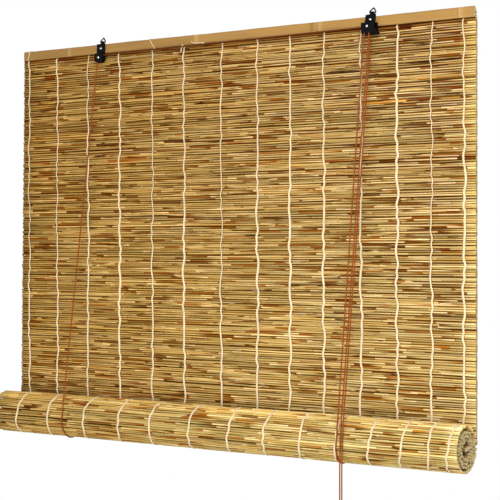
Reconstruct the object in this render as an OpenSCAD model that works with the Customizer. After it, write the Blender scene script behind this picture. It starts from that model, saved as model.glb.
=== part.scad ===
// Reed roll up blind, drawn part of the way up: a reed mat on a bamboo head rail, two black iron
// cord fittings with hanging rings, and the rolled lower part of the mat in two cord slings.
// X runs along the rail, -Y is the front, Z is up. The hooks of the wall carry the rings at z = 0.

/* [Mat] */
// Width of the mat and of the rail
blind_w = 1000; // [600:10:1600]
// How far the lower reeds stand out on the left
left_flare = 9; // [0:0.5:20]
// Height from the top of the rail to the axis of the roll
mat_drop = 729; // [400:1:1200]
// Diameter of one reed
reed_d = 5; // [3:0.1:7]
// Distance from reed to reed
reed_pitch = 5.9; // [5.2:0.1:8]
// Thickness of the web that stands for the stitching between two reeds
web_t = 1.2; // [0.6:0.1:2]
// Height of an open gap between two reeds
gap_h = 0.6; // [0.3:0.1:1]
// Distance from a gap's end to the nearest thread
gap_margin = 8; // [4:1:20]
// Most gaps in the mat
gap_limit = 120; // [10:10:120]

/* [Roll] */
// Radius of the outer turn, to the middle of its reeds
roll_r = 37.6; // [30:0.1:60]
// Distance from turn to turn
turn_pitch = 5.9; // [5.4:0.1:8]
// Least radius of the innermost turn, to the middle of its reeds
core_r = 14; // [10:0.5:20]
// Angle over which the outer turn keeps its radius
outer_hold = 290; // [180:5:340]
// Width of the batten at the lower end of the mat
batten_w = 18; // [12:0.5:20]
// Thickness of the batten
batten_t = 8; // [4:0.5:10]

/* [Threads] */
// Width of a binding thread
thread_w = 3.2; // [1:0.1:4]
// Thickness of a binding thread
thread_t = 0.7; // [0.4:0.1:1.2]
// Gap between a thread and the reeds under it
thread_seat = 0.05; // [0.02:0.01:0.2]
// Width of a lashing over the rail
lashing_w = 1.8; // [1:0.1:4]
// Thickness of a lashing over the rail
lashing_t = 0.6; // [0.4:0.1:1]

/* [Rail] */
// Height of the two bamboo slats
slat_h = 18; // [14:0.5:30]
// Thickness of a bamboo slat
slat_t = 4.5; // [3:0.5:8]
// Bevel along the edges of a slat
slat_bevel = 1; // [0.4:0.1:1.5]
// Width of the ridge at a bamboo joint
ridge_w = 2.6; // [1.5:0.1:5]
// Height of the ridge at a bamboo joint
ridge_rise = 0.4; // [0.2:0.1:1]
// How much a slat stops short of the mat's end
rail_trim = 4; // [0:0.5:20]
// Distance from the top of the rail to the top of the mat
mat_inset = 2; // [0.5:0.5:5]
// Gap between a slat and the threads under it
slat_seat = 0.1; // [0.05:0.05:0.4]

/* [Hanging] */
// Height of the hooks over the rail
hook_rise = 10; // [6:0.5:20]
// Diameter of the ring wire
ring_wire = 2.5; // [1.5:0.1:3]
// Width of the ring, between the middles of its wires
ring_w = 15.4; // [12:0.1:20]
// Height of the left ring's lower wire over the rail
ring_base = 3.2; // [2.8:0.1:6]
// How much higher the right ring sits than the left one
right_ring_rise = 2.5; // [0:0.5:6]
// Radius of the ring's bends
ring_bend = 1.4; // [1:0.1:2]
// Shift of the ring's peak to the right
ring_lean = 2.8; // [0:0.1:3]
// Width of the hanging tab
tab_w = 11.5; // [8:0.5:14]
// Shift of the hanging tab to the right of its rivet
tab_shift = 3.2; // [0:0.1:8]
// Outside diameter of the curl that holds the ring
curl_d = 4.9; // [3.8:0.1:5.2]
// Length of the curl
curl_w = 6; // [4:0.5:6]

/* [Fittings] */
// Place of the pulley's rivet along the rail
left_x = -292; // [-450:1:-150]
// Place of the cord lock's rivet along the rail
right_x = 306.5; // [150:0.5:450]
// Depth of the left rivet under the top of the rail
left_rivet_drop = 8.5; // [6:0.5:12]
// Depth of the right rivet under the top of the rail
right_rivet_drop = 6; // [6:0.5:12]
// Thickness of the fittings' sheet
sheet_t = 1.5; // [1:0.1:2.5]
// Width of the plate over the tab
plate_w = 20; // [14:0.5:24]
// Height of the pulley's plate over the rivet
left_plate_over = 9; // [5:0.5:9]
// Height of the cord lock's plate over the rivet
right_plate_over = 9; // [5:0.5:9]
// Lean to the right of the pulley's plate, from foot to top
left_plate_lean = 0.6; // [0:0.1:4]
// Lean to the right of the cord lock's plate, from foot to top
right_plate_lean = 2.4; // [0:0.1:4]
// Diameter of the rivets' shanks
rivet_d = 3; // [2:0.1:4]
// Diameter of the rivets' heads
rivet_head_d = 5; // [4.5:0.1:6]
// Height of the rivets' heads
rivet_head_h = 1.6; // [1:0.1:2.4]
// Radial clearance of a rivet in its hole
rivet_fit = 0.05; // [0.02:0.01:0.1]
// Radius of the cases' lower corners
case_round = 5; // [2:0.5:7]

/* [Pulley] */
// Left edge of the pulley case, from its rivet
pulley_case_left = -10; // [-14:0.5:-8]
// Right edge of the pulley case, from its rivet
pulley_case_right = 10.5; // [8:0.5:14]
// Top of the pulley case under the top of the rail
pulley_case_top = 19; // [18.5:0.5:24]
// Bottom of the pulley case under the top of the rail
pulley_case_bottom = 36; // [34:0.5:46]
// Pulley axle, across from its rivet
pulley_axle_x = -0.5; // [-4:0.5:2]
// Pulley axle under the top of the rail
pulley_axle_drop = 27; // [27:0.5:34]

/* [Cord lock] */
// Left edge of the lock case, from its rivet
lock_case_left = -11; // [-16:0.5:-9]
// Right edge of the lock case, from its rivet
lock_case_right = 14.5; // [13:0.5:20]
// Top of the lock case under the top of the rail
lock_case_top = 12.5; // [10:0.5:16]
// Bottom of the lock case under the top of the rail
lock_case_bottom = 33; // [31:0.5:42]
// Width of the two notches for the cords in the lock's front cheek
lock_notch_w = 4.2; // [3:0.1:5]
// Height of the notches
lock_notch_h = 4.5; // [2:0.5:6]
// Distance of a notch from the middle of the plate
lock_notch_x = 4.5; // [4:0.5:5]
// Lock axle, across from its rivet
lock_axle_x = -2.5; // [-4:0.5:0]
// Lock axle under the top of the rail
lock_axle_drop = 23.5; // [23.5:0.5:28]
// Diameter of the heads of the lock's axle
lock_axle_head_d = 4.8; // [4:0.1:6]
// Front rivet of the lock case, across from the rivet in the rail
lock_rivet_x = 0.5; // [-1:0.5:2]
// Front rivet of the lock case under the top of the rail
lock_rivet_drop = 19; // [16.5:0.5:19]
// Pawl pin, across from the lock axle
pawl_pin_x = 12.5; // [11.5:0.5:15]
// Pawl pin under the top of the rail
pawl_pin_drop = 22; // [21:0.5:25]
// Diameter of the pawl pin
pawl_pin_d = 2.4; // [1.6:0.1:3]
// Radius of the pawl round its pin
pawl_eye_r = 3.2; // [2.4:0.1:4]
// Reach of the pawl's toe and foot under its pin
pawl_reach = 11.5; // [8:0.5:16]
// Reach of the pawl's foot to the right of its pin
pawl_foot = 8; // [3:0.5:12]

/* [Wheels] */
// Thickness of a cord wheel
wheel_t = 5.4; // [4:0.1:8]
// Radius of a cord wheel's rim
wheel_rim_r = 5.2; // [4.6:0.1:5.4]
// Radius of a cord wheel at the bottom of its groove
wheel_groove_r = 3.2; // [2.4:0.1:3.6]
// Width of a cord wheel's groove
wheel_groove_w = 3.4; // [3.2:0.1:4]
// Side gap of a wheel
wheel_gap = 0.3; // [0.2:0.05:0.5]

/* [Cords] */
// Diameter of the cords
cord_d = 2.4; // [1.6:0.1:3]
// Gap between a cord and what turns or slides under it
cord_clear = 0.3; // [0.2:0.05:0.6]
// Place of the left sling at the front of the roll
left_sling_x = -332; // [-450:1:-200]
// Place of the right sling at the front of the roll
right_sling_x = 279; // [200:1:450]
// Shift of a sling to the left from the front to the back of the roll
sling_shift = 18; // [0:1:40]
// Diameter of the knots
knot_d = 6; // [4:0.5:9]
// Diameter of the staple wire that holds a cord's back end
staple_wire = 1.2; // [0.8:0.1:2]
// Width of a staple
staple_w = 6; // [5:0.5:10]
// Depth of a staple in the slat
staple_depth = 3; // [1:0.5:4]

/* [Put away cord] */
// Turns in a coil, along its axis
coil_columns = 4; // [2:1:6]
// Turns in a coil, outwards
coil_layers = 5; // [2:1:8]
// Distance between two turns
coil_step = 2.45; // [2.4:0.05:3]
// Radius of the innermost turn
coil_inner_r = 8.5; // [6:0.5:14]
// Height of the tie round the two coils
tie_h = 5; // [3:0.5:8]
// Thickness of the tie
tie_t = 0.8; // [0.4:0.1:1.5]
// Gap between the tie and the coils
tie_gap = 0.4; // [0.2:0.1:1]

/* [Hidden] */
$fn = 48;
TUBE_SIDES = 8;
CORNER_STEPS = 5;
JOIN = 0.4;

// Places of the threads along the mat and along the roll, as shares of half the width
THREAD_SHARES = [-0.97, -0.82, -0.66, -0.50, -0.34, -0.19, -0.02, 0.14, 0.28, 0.42, 0.57, 0.71, 0.84, 0.96];
ROLL_THREAD_SHARES = [-0.90, -0.74, -0.56, -0.39, -0.24, -0.06, 0.11, 0.26, 0.41, 0.55, 0.68, 0.80, 0.90, 0.97];
// Threads whose ends are lashed round the rail
LASHED_THREADS = [0, 4];
// Bamboo joints of the slats and of the batten, as shares of half the width
FRONT_JOINTS = [-0.76, -0.14, 0.40, 0.94];
REAR_JOINTS = [-0.48, 0.10, 0.68];
BATTEN_JOINTS = [-0.62, -0.02, 0.58];

thread_x = [for (s = THREAD_SHARES) s * blind_w / 2];
roll_thread_x = [for (s = ROLL_THREAD_SHARES) s * blind_w / 2];

rail_top = -hook_rise;
rail_bottom = rail_top - slat_h;
axis_z = rail_top - mat_drop;
axis_y = -roll_r;
mat_face = reed_d / 2;
slat_face = mat_face + thread_seat + thread_t + slat_seat;
rail_face = slat_face + slat_t;
cord_r = cord_d / 2;

row_first = axis_z + reed_pitch / 2;
row_count = floor((rail_top - mat_inset - mat_face - row_first) / reed_pitch) + 1;
row_points = [for (i = [0 : row_count - 1]) [0, row_first + i * reed_pitch]];
mat_top = row_first + (row_count - 1) * reed_pitch + mat_face;
gap_count = min(row_count - 1, gap_limit);
bay_count = len(thread_x) - 1;
BAY_STRIDE = 5;

// The roll's reeds lie on a spiral that leaves the mat at the back and runs under the axis to the front
degrees_per_radian = 180 / PI;
roll_start = reed_pitch / 2 / roll_r * degrees_per_radian;
roll_angles = [
    for (a = roll_start; turn_radius(a) >= core_r; a = a + reed_pitch / turn_radius(a) * degrees_per_radian) a
];
roll_points = [for (a = roll_angles) on_roll(a, turn_radius(a))];
roll_end = roll_angles[len(roll_angles) - 1];
batten_out = turn_radius(roll_end) - reed_d / 2 - slat_seat - batten_w / 2;
roll_face = roll_r + reed_d / 2;
sling_r = roll_face + thread_seat + thread_t + cord_clear + cord_r;
ROLL_THREAD_SWEEP = 270;

hole_d = rivet_d + 2 * rivet_fit;
tab_front = rail_face + sheet_t;
case_back = tab_front + sheet_t;
first_wheel_y = case_back + wheel_gap + wheel_t / 2;
second_wheel_y = first_wheel_y + wheel_t + wheel_gap;
pulley_depth = wheel_t + 2 * wheel_gap;
lock_depth = 2 * wheel_t + 3 * wheel_gap;
wrap_r = wheel_groove_r + cord_r + cord_clear;

left_rivet_z = rail_top - left_rivet_drop;
right_rivet_z = rail_top - right_rivet_drop;
pulley_x = left_x + pulley_axle_x;
pulley_z = rail_top - pulley_axle_drop;
lock_x = right_x + lock_axle_x;
lock_z = rail_top - lock_axle_drop;
pawl_x = lock_x + pawl_pin_x;
pawl_z = rail_top - pawl_pin_drop;
ring_z = rail_top + ring_base;
right_ring_z = ring_z + right_ring_rise;
// The bend at the peak takes this share of its radius off the peak's height
PEAK_BEND_SHARE = 0.56;
ring_peak = hook_rise - ring_base + ring_wire / 2 + PEAK_BEND_SHARE * ring_bend;
lock_front = case_back + lock_depth;
lock_rivet_z = rail_top - lock_rivet_drop;
curl_bore_d = ring_wire + 0.2;

cross_slope = atan2(lock_z - pulley_z, lock_x - pulley_x);
back_cord_y = rail_face + cord_r + cord_clear;
staple_z = rail_top - slat_h / 2;
knot_z = staple_z + knot_d;
knot_y = rail_face + knot_d / 2 + thread_seat;

// Routes of the two free pull cords, from the lock to their coils
PULL_FRONT_ROUTE = [
    [308.7, -19.5, -34.0], [308.6, -19.6, -40], [308.3, -20.2, -50], [307.6, -21.8, -70],
    [306.6, -24.4, -100], [304.9, -28.7, -150], [303.3, -33.0, -200], [300.0, -41.6, -300],
    [296.7, -50.2, -400], [293.4, -58.8, -500], [290.1, -67.4, -600], [288.4, -71.7, -650],
    [286.9, -76.5, -700], [286.6, -79.0, -725], [286.5, -80.6, -745], [286.5, -81.3, -765],
    [286.5, -81.5, -785], [286.5, -81.5, -805], [286.5, -81.5, -830], [286.5, -81.5, -851.5]
];
PULL_REAR_ROUTE = [
    [308.7, -13.8, -34.0], [308.7, -14.0, -40], [308.7, -14.6, -50], [308.4, -16.6, -70],
    [307.8, -19.6, -100], [306.5, -24.4, -150], [305.2, -29.2, -200], [302.5, -38.8, -300],
    [299.7, -48.3, -400], [296.9, -57.9, -500], [293.9, -67.0, -600], [292.4, -71.6, -650],
    [291.0, -76.5, -700], [290.7, -79.0, -725], [290.5, -80.6, -745], [290.5, -81.3, -765],
    [290.5, -81.5, -785], [290.5, -81.5, -805], [290.5, -81.5, -830], [290.5, -81.5, -851.5]
];
COIL_DEPTH_Y = -81.5;
COIL_MIDDLE_Z = -862;
coil_outer_r = coil_inner_r + (coil_layers - 1) * coil_step;
coil_hole_r = coil_inner_r - coil_step / 2;
coil_rim_r = coil_outer_r + coil_step / 2;
coil_t = coil_columns * coil_step;
front_coil_x = PULL_FRONT_ROUTE[len(PULL_FRONT_ROUTE) - 1].x - coil_outer_r;
rear_coil_x = PULL_REAR_ROUTE[len(PULL_REAR_ROUTE) - 1].x + coil_outer_r;

// Shared curves and shapes

// Rises from 0 to 1 without a corner
function eased(t) = t * t * (3 - 2 * t);

function turn_radius(a) =
    a <= outer_hold ? roll_r
    : a < 360 ? roll_r - turn_pitch * eased((a - outer_hold) / (360 - outer_hold))
    : roll_r - turn_pitch * a / 360;

// A point round the roll's axis in the Y-Z plane: 0 is the back, 90 the bottom, 180 the front
function on_roll(a, r) = [axis_y + r * cos(a), axis_z - r * sin(a)];

// Angle round the roll where a straight cord from a point [y, z] above it meets the sling
function sling_contact(from, side) =
    let (dy = from.x - axis_y, dz = from.y - axis_z)
    -(atan2(dz, dy) + side * acos(sling_r / norm([dy, dz])));

function arc(centre, r, from, to, steps) =
    [for (i = [0 : steps]) let (a = from + (to - from) * i / steps) centre + r * [cos(a), sin(a)]];

function unit(v) = v / norm(v);

function tangent(points, i) = unit(points[min(i + 1, len(points) - 1)] - points[max(i - 1, 0)]);

// Points along a straight stretch, short of both its ends by the gap that parts two cord pieces
function straight(from, to, steps) =
    let (way = unit(to - from), a = from + JOIN * way, b = to - JOIN * way)
    [for (i = [0 : steps]) a + (b - a) * i / steps];

// A round cord along a list of points; flat is a direction that the cord never runs along
module tube(points, d, flat) {
    n = len(points);
    rings = [
        for (i = [0 : n - 1])
            let (t = tangent(points, i), u = unit(cross(t, flat)), v = cross(t, u))
            for (k = [0 : TUBE_SIDES - 1])
                let (a = 360 * k / TUBE_SIDES)
                points[i] + d / 2 * (u * cos(a) + v * sin(a))
    ];
    sides = [
        for (i = [0 : n - 2], k = [0 : TUBE_SIDES - 1])
            let (m = (k + 1) % TUBE_SIDES, a = i * TUBE_SIDES, b = a + TUBE_SIDES)
            [a + k, b + k, b + m, a + m]
    ];
    start = [for (k = [0 : TUBE_SIDES - 1]) k];
    end = [for (k = [TUBE_SIDES - 1 : -1 : 0]) (n - 1) * TUBE_SIDES + k];
    polyhedron(points = rings, faces = concat(sides, [start, end]));
}

// The points of a bend of radius r at a corner between two others
function bend(before, corner, after, r) =
    let (a = unit(before - corner), b = unit(after - corner))
    let (half = acos(a * b) / 2)
    let (centre = corner + unit(a + b) * r / sin(half))
    let (from = corner + a * r / tan(half) - centre, to = corner + b * r / tan(half) - centre)
    [for (i = [0 : CORNER_STEPS]) centre + r * unit(from + (to - from) * eased(i / CORNER_STEPS))];

// A section in the Y-Z plane, drawn out along X from one place to another
module along_x(from, to) {
    translate([from, 0, 0]) rotate([90, 0, 90]) linear_extrude(height = to - from) children();
}

// A section in the X-Z plane, drawn out from a depth towards the front
module towards_front(from, depth) {
    translate([0, -from, 0]) rotate([90, 0, 0]) linear_extrude(height = depth) children();
}

// A round bar along Y from a depth towards the front
module pin(x, z, from, depth, d) {
    towards_front(from, depth) translate([x, z]) circle(d = d);
}

// Reeds side by side on a line of points, joined by a thin web, with the flare on the left
module reed_sheet(points) {
    left = -blind_w / 2 - left_flare;
    right = blind_w / 2;
    n = len(points);
    edge = [
        for (i = [0 : n - 1])
            let (t = tangent(points, i))
            [-t.y, t.x] * web_t / 2
    ];
    along_x(left, right)
        polygon(concat(
            [for (i = [0 : n - 1]) points[i] + edge[i]],
            [for (i = [n - 1 : -1 : 0]) points[i] - edge[i]]
        ));
    for (p = points)
        along_x(left, right) translate(p) circle(d = reed_d);
}

// A bamboo strip's section, with bevelled edges
module strip_section(t, h) {
    b = slat_bevel;
    polygon([
        [-t / 2 + b, -h / 2], [t / 2 - b, -h / 2], [t / 2, -h / 2 + b], [t / 2, h / 2 - b],
        [t / 2 - b, h / 2], [-t / 2 + b, h / 2], [-t / 2, h / 2 - b], [-t / 2, -h / 2 + b]
    ]);
}

// A bamboo strip on its edge: side is -1 where its round face is to the front and 1 to the back
module strip(from, to, t, h, side, joints) {
    along_x(from, to) strip_section(t, h);
    for (s = joints)
        translate([s * blind_w / 2, side * t / 2, 0])
            cube([ridge_w, 2 * ridge_rise, h - 2 * slat_bevel], center = true);
}

// Mat

module reed_panel() {
    color("BurlyWood")
    difference() {
        reed_sheet(row_points);
        towards_front(-reed_d, 2 * reed_d)
            polygon([
                [-blind_w / 2, mat_top + reed_d], [-blind_w / 2, mat_top],
                [-blind_w / 2 - left_flare, row_first - reed_d],
                [-blind_w / 2 - left_flare - reed_d, row_first - reed_d],
                [-blind_w / 2 - left_flare - reed_d, mat_top + reed_d]
            ]);
        for (i = [0 : gap_count - 1])
            let (bay = (i * BAY_STRIDE) % bay_count)
            let (from = thread_x[bay] + gap_margin, to = thread_x[bay + 1] - gap_margin)
            translate([from, -reed_d / 2, row_points[i].y + (reed_pitch - gap_h) / 2])
                cube([to - from, reed_d, gap_h]);
        pin(left_x, left_rivet_z, -reed_d, 2 * reed_d, hole_d);
        pin(right_x, right_rivet_z, -reed_d, 2 * reed_d, hole_d);
    }
}

module panel_threads() {
    color("Ivory")
    for (x = thread_x, side = [-1, 1])
        translate([x, side * (mat_face + thread_seat + thread_t / 2), (row_first + mat_top) / 2])
            cube([thread_w, thread_t, mat_top - row_first], center = true);
}

module reed_roll() {
    color("Tan") reed_sheet(roll_points);
}

module roll_threads() {
    color("Ivory")
    for (x = roll_thread_x)
        translate([x, axis_y, axis_z]) rotate([0, 90, 0]) rotate([0, 0, 90 - ROLL_THREAD_SWEEP - roll_start])
            rotate_extrude(angle = ROLL_THREAD_SWEEP)
                translate([roll_face + thread_seat, -thread_w / 2]) square([thread_t, thread_w]);
}

// The batten stands with one edge against the last reed
module bottom_batten() {
    color("Peru")
    translate([0, axis_y, axis_z]) rotate([atan2(-cos(roll_end), -sin(roll_end)), 0, 0])
        translate([0, 0, batten_out])
            strip(-blind_w / 2, blind_w / 2, batten_t - 2 * ridge_rise, batten_w, -1, BATTEN_JOINTS);
}

// Rail

module front_slat() {
    color("Goldenrod")
    difference() {
        translate([0, -slat_face - slat_t / 2, rail_top - slat_h / 2])
            strip(-blind_w / 2 + rail_trim, blind_w / 2, slat_t, slat_h, -1, FRONT_JOINTS);
        pin(left_x, left_rivet_z, slat_face - 1, slat_t + 2, hole_d);
        pin(right_x, right_rivet_z, slat_face - 1, slat_t + 2, hole_d);
    }
}

module rear_slat() {
    color("Goldenrod")
    difference() {
        translate([0, slat_face + slat_t / 2, rail_top - slat_h / 2])
            strip(-blind_w / 2 + rail_trim, blind_w / 2 - rail_trim, slat_t, slat_h, 1, REAR_JOINTS);
        pin(left_x, left_rivet_z, -rail_face - 1, slat_t + 2, hole_d);
        pin(right_x, right_rivet_z, -rail_face - 1, slat_t + 2, hole_d);
        for (x = [left_sling_x, right_sling_x], side = [-1, 1])
            pin(x - sling_shift + side * staple_w / 2, staple_z, -rail_face - 1, staple_depth + 1,
                staple_wire + 2 * rivet_fit);
    }
}

// Thread ends over the rail, open below where they run on into the mat
module rail_lashings() {
    inner_y = 2 * (rail_face + thread_seat);
    inner_z = slat_h + 2 * thread_seat;
    color("Ivory")
    for (i = LASHED_THREADS)
        translate([thread_x[i], 0, rail_top - slat_h / 2])
            difference() {
                cube([lashing_w, inner_y + 2 * lashing_t, inner_z + 2 * lashing_t], center = true);
                translate([0, 0, -lashing_t])
                    cube([2 * lashing_w, inner_y, inner_z + 2 * lashing_t], center = true);
            }
}

// Hanging rings and the tabs that hold them

// A triangle of bent wire on a straight lower wire
module hang_ring(x, base_z) {
    left = [-ring_w / 2, 0, 0];
    right = [ring_w / 2, 0, 0];
    peak = [ring_lean, 0, ring_peak];
    loop = concat(
        [[0, 0, 0]], bend(left, right, peak, ring_bend), bend(right, peak, left, ring_bend),
        bend(peak, left, right, ring_bend), [[-0.2, 0, 0]]
    );
    straight_w = curl_w + 0.4;
    color("DimGray")
    translate([x + tab_shift, -rail_face - sheet_t / 2, base_z]) {
        tube(loop, ring_wire, [0, 1, 0]);
        rotate([0, 90, 0]) cylinder(d = ring_wire + 0.04, h = straight_w, center = true);
    }
}

// A tab behind the plate, with a strip up to the curl that holds the ring
module hang_tab(x, rivet_z, base_z) {
    low = rivet_z - rivet_head_d / 2;
    step = rivet_z + rivet_head_d / 2;
    shoulder = base_z - ring_wire / 2 - 0.4;
    strip_left = tab_shift - tab_w / 2;
    strip_right = tab_shift + tab_w / 2;
    color([0.1, 0.1, 0.11])
    difference() {
        union() {
            towards_front(rail_face, sheet_t)
                translate([x, 0])
                    polygon([
                        [-rivet_head_d / 2, low], [strip_right, low], [strip_right, shoulder],
                        [tab_shift + curl_w / 2, shoulder], [tab_shift + curl_w / 2, base_z],
                        [tab_shift - curl_w / 2, base_z], [tab_shift - curl_w / 2, shoulder],
                        [strip_left, shoulder], [strip_left, step], [-rivet_head_d / 2, step]
                    ]);
            translate([x + tab_shift, -rail_face - sheet_t / 2, base_z]) rotate([0, 90, 0])
                cylinder(d = curl_d, h = curl_w, center = true);
        }
        translate([x + tab_shift, -rail_face - sheet_t / 2, base_z]) rotate([0, 90, 0])
            cylinder(d = curl_bore_d, h = 2 * curl_w, center = true);
        pin(x, rivet_z, rail_face - 1, sheet_t + 2, hole_d);
    }
}

// A rivet along Y, with a round head in front and a flat one at the back where it has a tail
module rivet(x, z, back, front, d, head_d, head_h, tail = true) {
    head_r = (head_d * head_d / 4 + head_h * head_h) / (2 * head_h);
    color("Silver") {
        pin(x, z, back, front - back, d);
        if (tail) pin(x, z, back - head_h / 2, head_h / 2, head_d * 0.8);
        translate([x, -front, z]) rotate([90, 0, 0])
            intersection() {
                translate([0, 0, head_h - head_r]) sphere(r = head_r);
                cylinder(d = head_d, h = head_h);
            }
    }
}

module fixing_rivet(x, z) {
    rivet(x, z, -rail_face, case_back, rivet_d, rivet_head_d, rivet_head_h);
}

// Cases of the pulley and of the cord lock

// Front outline of a case, with round lower corners
module case_outline(left, right, top, bottom) {
    r = case_round;
    polygon(concat(
        [[left, top]],
        arc([left + r, bottom + r], r, 180, 270, CORNER_STEPS),
        arc([right - r, bottom + r], r, 270, 360, CORNER_STEPS),
        [[right, top]]
    ));
}

// A folded case: a plate on the tab, two cheeks and a top, open at its sides and below
module cord_case(x, rivet_z, plate_over, lean, left, right, top, bottom, depth) {
    low = top - sheet_t;
    high = rivet_z + plate_over;
    color([0.09, 0.09, 0.1])
    difference() {
        union() {
            towards_front(tab_front, sheet_t)
                translate([x, 0])
                    polygon([
                        [-(plate_w + lean) / 2, low], [(plate_w - lean) / 2, low],
                        [(plate_w + lean) / 2, high], [-(plate_w - lean) / 2, high]
                    ]);
            towards_front(tab_front, depth + 2 * sheet_t) case_outline(x + left, x + right, top, bottom);
        }
        translate([x + left - 1, -case_back - depth, bottom - 1])
            cube([right - left + 2, depth, top - bottom + 1 - sheet_t]);
        pin(x, rivet_z, tab_front - 1, sheet_t + 2, hole_d);
        children();
    }
}

module pulley_case() {
    cord_case(left_x, left_rivet_z, left_plate_over, left_plate_lean, pulley_case_left, pulley_case_right,
              rail_top - pulley_case_top, rail_top - pulley_case_bottom, pulley_depth)
        pin(pulley_x, pulley_z, tab_front - 1, pulley_depth + 2 * sheet_t + 2, hole_d);
}

module lock_case() {
    bottom = rail_top - lock_case_bottom;
    cord_case(right_x, right_rivet_z, right_plate_over, right_plate_lean, lock_case_left, lock_case_right,
              rail_top - lock_case_top, bottom, lock_depth) {
        pin(lock_x, lock_z, tab_front - 1, lock_depth + 2 * sheet_t + 2, hole_d);
        pin(pawl_x, pawl_z, tab_front - 1, lock_depth + 2 * sheet_t + 2, pawl_pin_d + 2 * rivet_fit);
        pin(right_x + lock_rivet_x, lock_rivet_z, lock_front - 1, sheet_t + 2, hole_d);
        for (side = [-1, 1])
            towards_front(lock_front - 1, sheet_t + 2)
                translate([right_x + side * lock_notch_x - lock_notch_w / 2, bottom - 1])
                    square([lock_notch_w, lock_notch_h + 1]);
    }
}

// A rivet in the front cheek alone, clear of the wheels behind it
module lock_case_rivet() {
    rivet(right_x + lock_rivet_x, lock_rivet_z, lock_front, lock_front + sheet_t, rivet_d, rivet_head_d,
          rivet_head_h, false);
}

module case_axle(x, z, depth, d, head_d) {
    rivet(x, z, tab_front, case_back + depth + sheet_t, d, head_d, rivet_head_h);
}

module cord_wheel(x, y, z) {
    color("DarkGray")
    translate([x, -y, z]) rotate([90, 0, 0])
        rotate_extrude()
            polygon([
                [rivet_d / 2 + rivet_fit, -wheel_t / 2], [wheel_rim_r, -wheel_t / 2],
                [wheel_rim_r, -wheel_groove_w / 2], [wheel_groove_r, -wheel_groove_w / 2],
                [wheel_groove_r, wheel_groove_w / 2], [wheel_rim_r, wheel_groove_w / 2],
                [wheel_rim_r, wheel_t / 2], [rivet_d / 2 + rivet_fit, wheel_t / 2]
            ]);
}

// The pawl presses the two pull cords against the wheels; its foot stands out on the right
module lock_pawl() {
    toe_x = wrap_r + cord_r + cord_clear - pawl_pin_x;
    color([0.12, 0.12, 0.13])
    difference() {
        towards_front(case_back + wheel_gap, lock_depth - 2 * wheel_gap)
            translate([pawl_x, pawl_z])
                union() {
                    circle(r = pawl_eye_r);
                    polygon([
                        [-pawl_eye_r * 0.6, pawl_eye_r * 0.5], [toe_x, -pawl_reach * 0.55],
                        [toe_x + 0.6, -pawl_reach * 0.8], [pawl_foot, -pawl_reach],
                        [pawl_foot + 1, -pawl_reach * 0.8], [pawl_eye_r * 0.6, pawl_eye_r * 0.5]
                    ]);
                }
        pin(pawl_x, pawl_z, case_back - 1, lock_depth + 2, pawl_pin_d + 2 * rivet_fit);
    }
}

// Cords

// A straight lift cord from a wheel down to the front of a sling
module lift_cord(wheel_x, wheel_y, wheel_z, sling_x) {
    a = sling_contact([-wheel_y, wheel_z], 1);
    meet = on_roll(a, sling_r);
    color("SaddleBrown")
    tube(straight([wheel_x - wrap_r, -wheel_y, wheel_z], [sling_x, meet.x, meet.y], 4), cord_d, [1, 0, 0]);
}

// The cord round the lower half of the roll, from back to front
module sling_cord(wheel_y, wheel_z, sling_x) {
    back = sling_contact([back_cord_y, rail_bottom], -1);
    front = sling_contact([-wheel_y, wheel_z], 1) + 360;
    steps = 24;
    color("SaddleBrown")
    tube([
        for (i = [0 : steps])
            let (t = i / steps, p = on_roll(back + (front - back) * t, sling_r))
            [sling_x - sling_shift * (1 - t), p.x, p.y]
    ], cord_d, [1, 0, 0]);
}

// The cord up the back of the mat to its staple
module back_cord(sling_x) {
    a = sling_contact([back_cord_y, rail_bottom], -1);
    meet = on_roll(a, sling_r);
    x = sling_x - sling_shift;
    climb = straight([x, meet.x, meet.y], [x, back_cord_y, rail_bottom], 4);
    color("SaddleBrown")
    tube(concat(climb, [[x, back_cord_y, knot_z - knot_d / 2]]), cord_d, [1, 0, 0]);
}

// The left cord from its wheel along the rail to the rear wheel of the lock, and over it
module cross_cord() {
    flat_points = concat(
        arc([pulley_x, pulley_z], wrap_r, 180, 90 + cross_slope, 8),
        arc([lock_x, lock_z], wrap_r, 90 + cross_slope, 0, 8)
    );
    color("SaddleBrown")
    tube([for (p = flat_points) [p.x, -first_wheel_y, p.y]], cord_d, [0, 1, 0]);
}

module lock_cord() {
    color("SaddleBrown")
    tube([for (p = arc([lock_x, lock_z], wrap_r, 180, 0, 12)) [p.x, -second_wheel_y, p.y]], cord_d, [0, 1, 0]);
}

module anchor_staples() {
    crown_y = back_cord_y + cord_r + staple_wire / 2 + thread_seat;
    color("LightSteelBlue")
    for (x = [left_sling_x, right_sling_x])
        translate([x - sling_shift, 0, staple_z]) {
            translate([0, crown_y, 0])
                cube([staple_w + staple_wire, staple_wire, staple_wire], center = true);
            for (side = [-1, 1])
                pin(side * staple_w / 2, 0, -crown_y, crown_y - rail_face + staple_depth - 0.2, staple_wire);
        }
}

module anchor_knots() {
    color("SaddleBrown")
    for (x = [left_sling_x, right_sling_x])
        translate([x - sling_shift, knot_y, knot_z]) sphere(d = knot_d);
}

// A coil of put away cord, on an axis along Y
module pull_coil(x) {
    color("SaddleBrown")
    translate([x, COIL_DEPTH_Y, COIL_MIDDLE_Z]) rotate([90, 0, 0])
        rotate_extrude()
            translate([coil_hole_r, -coil_t / 2]) square([coil_rim_r - coil_hole_r, coil_t]);
}

module coil_tie() {
    left = front_coil_x + coil_hole_r * 0.9 - tie_gap;
    right = rear_coil_x - coil_hole_r * 0.9 + tie_gap;
    depth = coil_t + 2 * tie_gap;
    color("Ivory")
    translate([(left + right) / 2, COIL_DEPTH_Y, COIL_MIDDLE_Z])
        difference() {
            cube([right - left + 2 * tie_t, depth + 2 * tie_t, tie_h], center = true);
            cube([right - left, depth, 2 * tie_h], center = true);
        }
}

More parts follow.
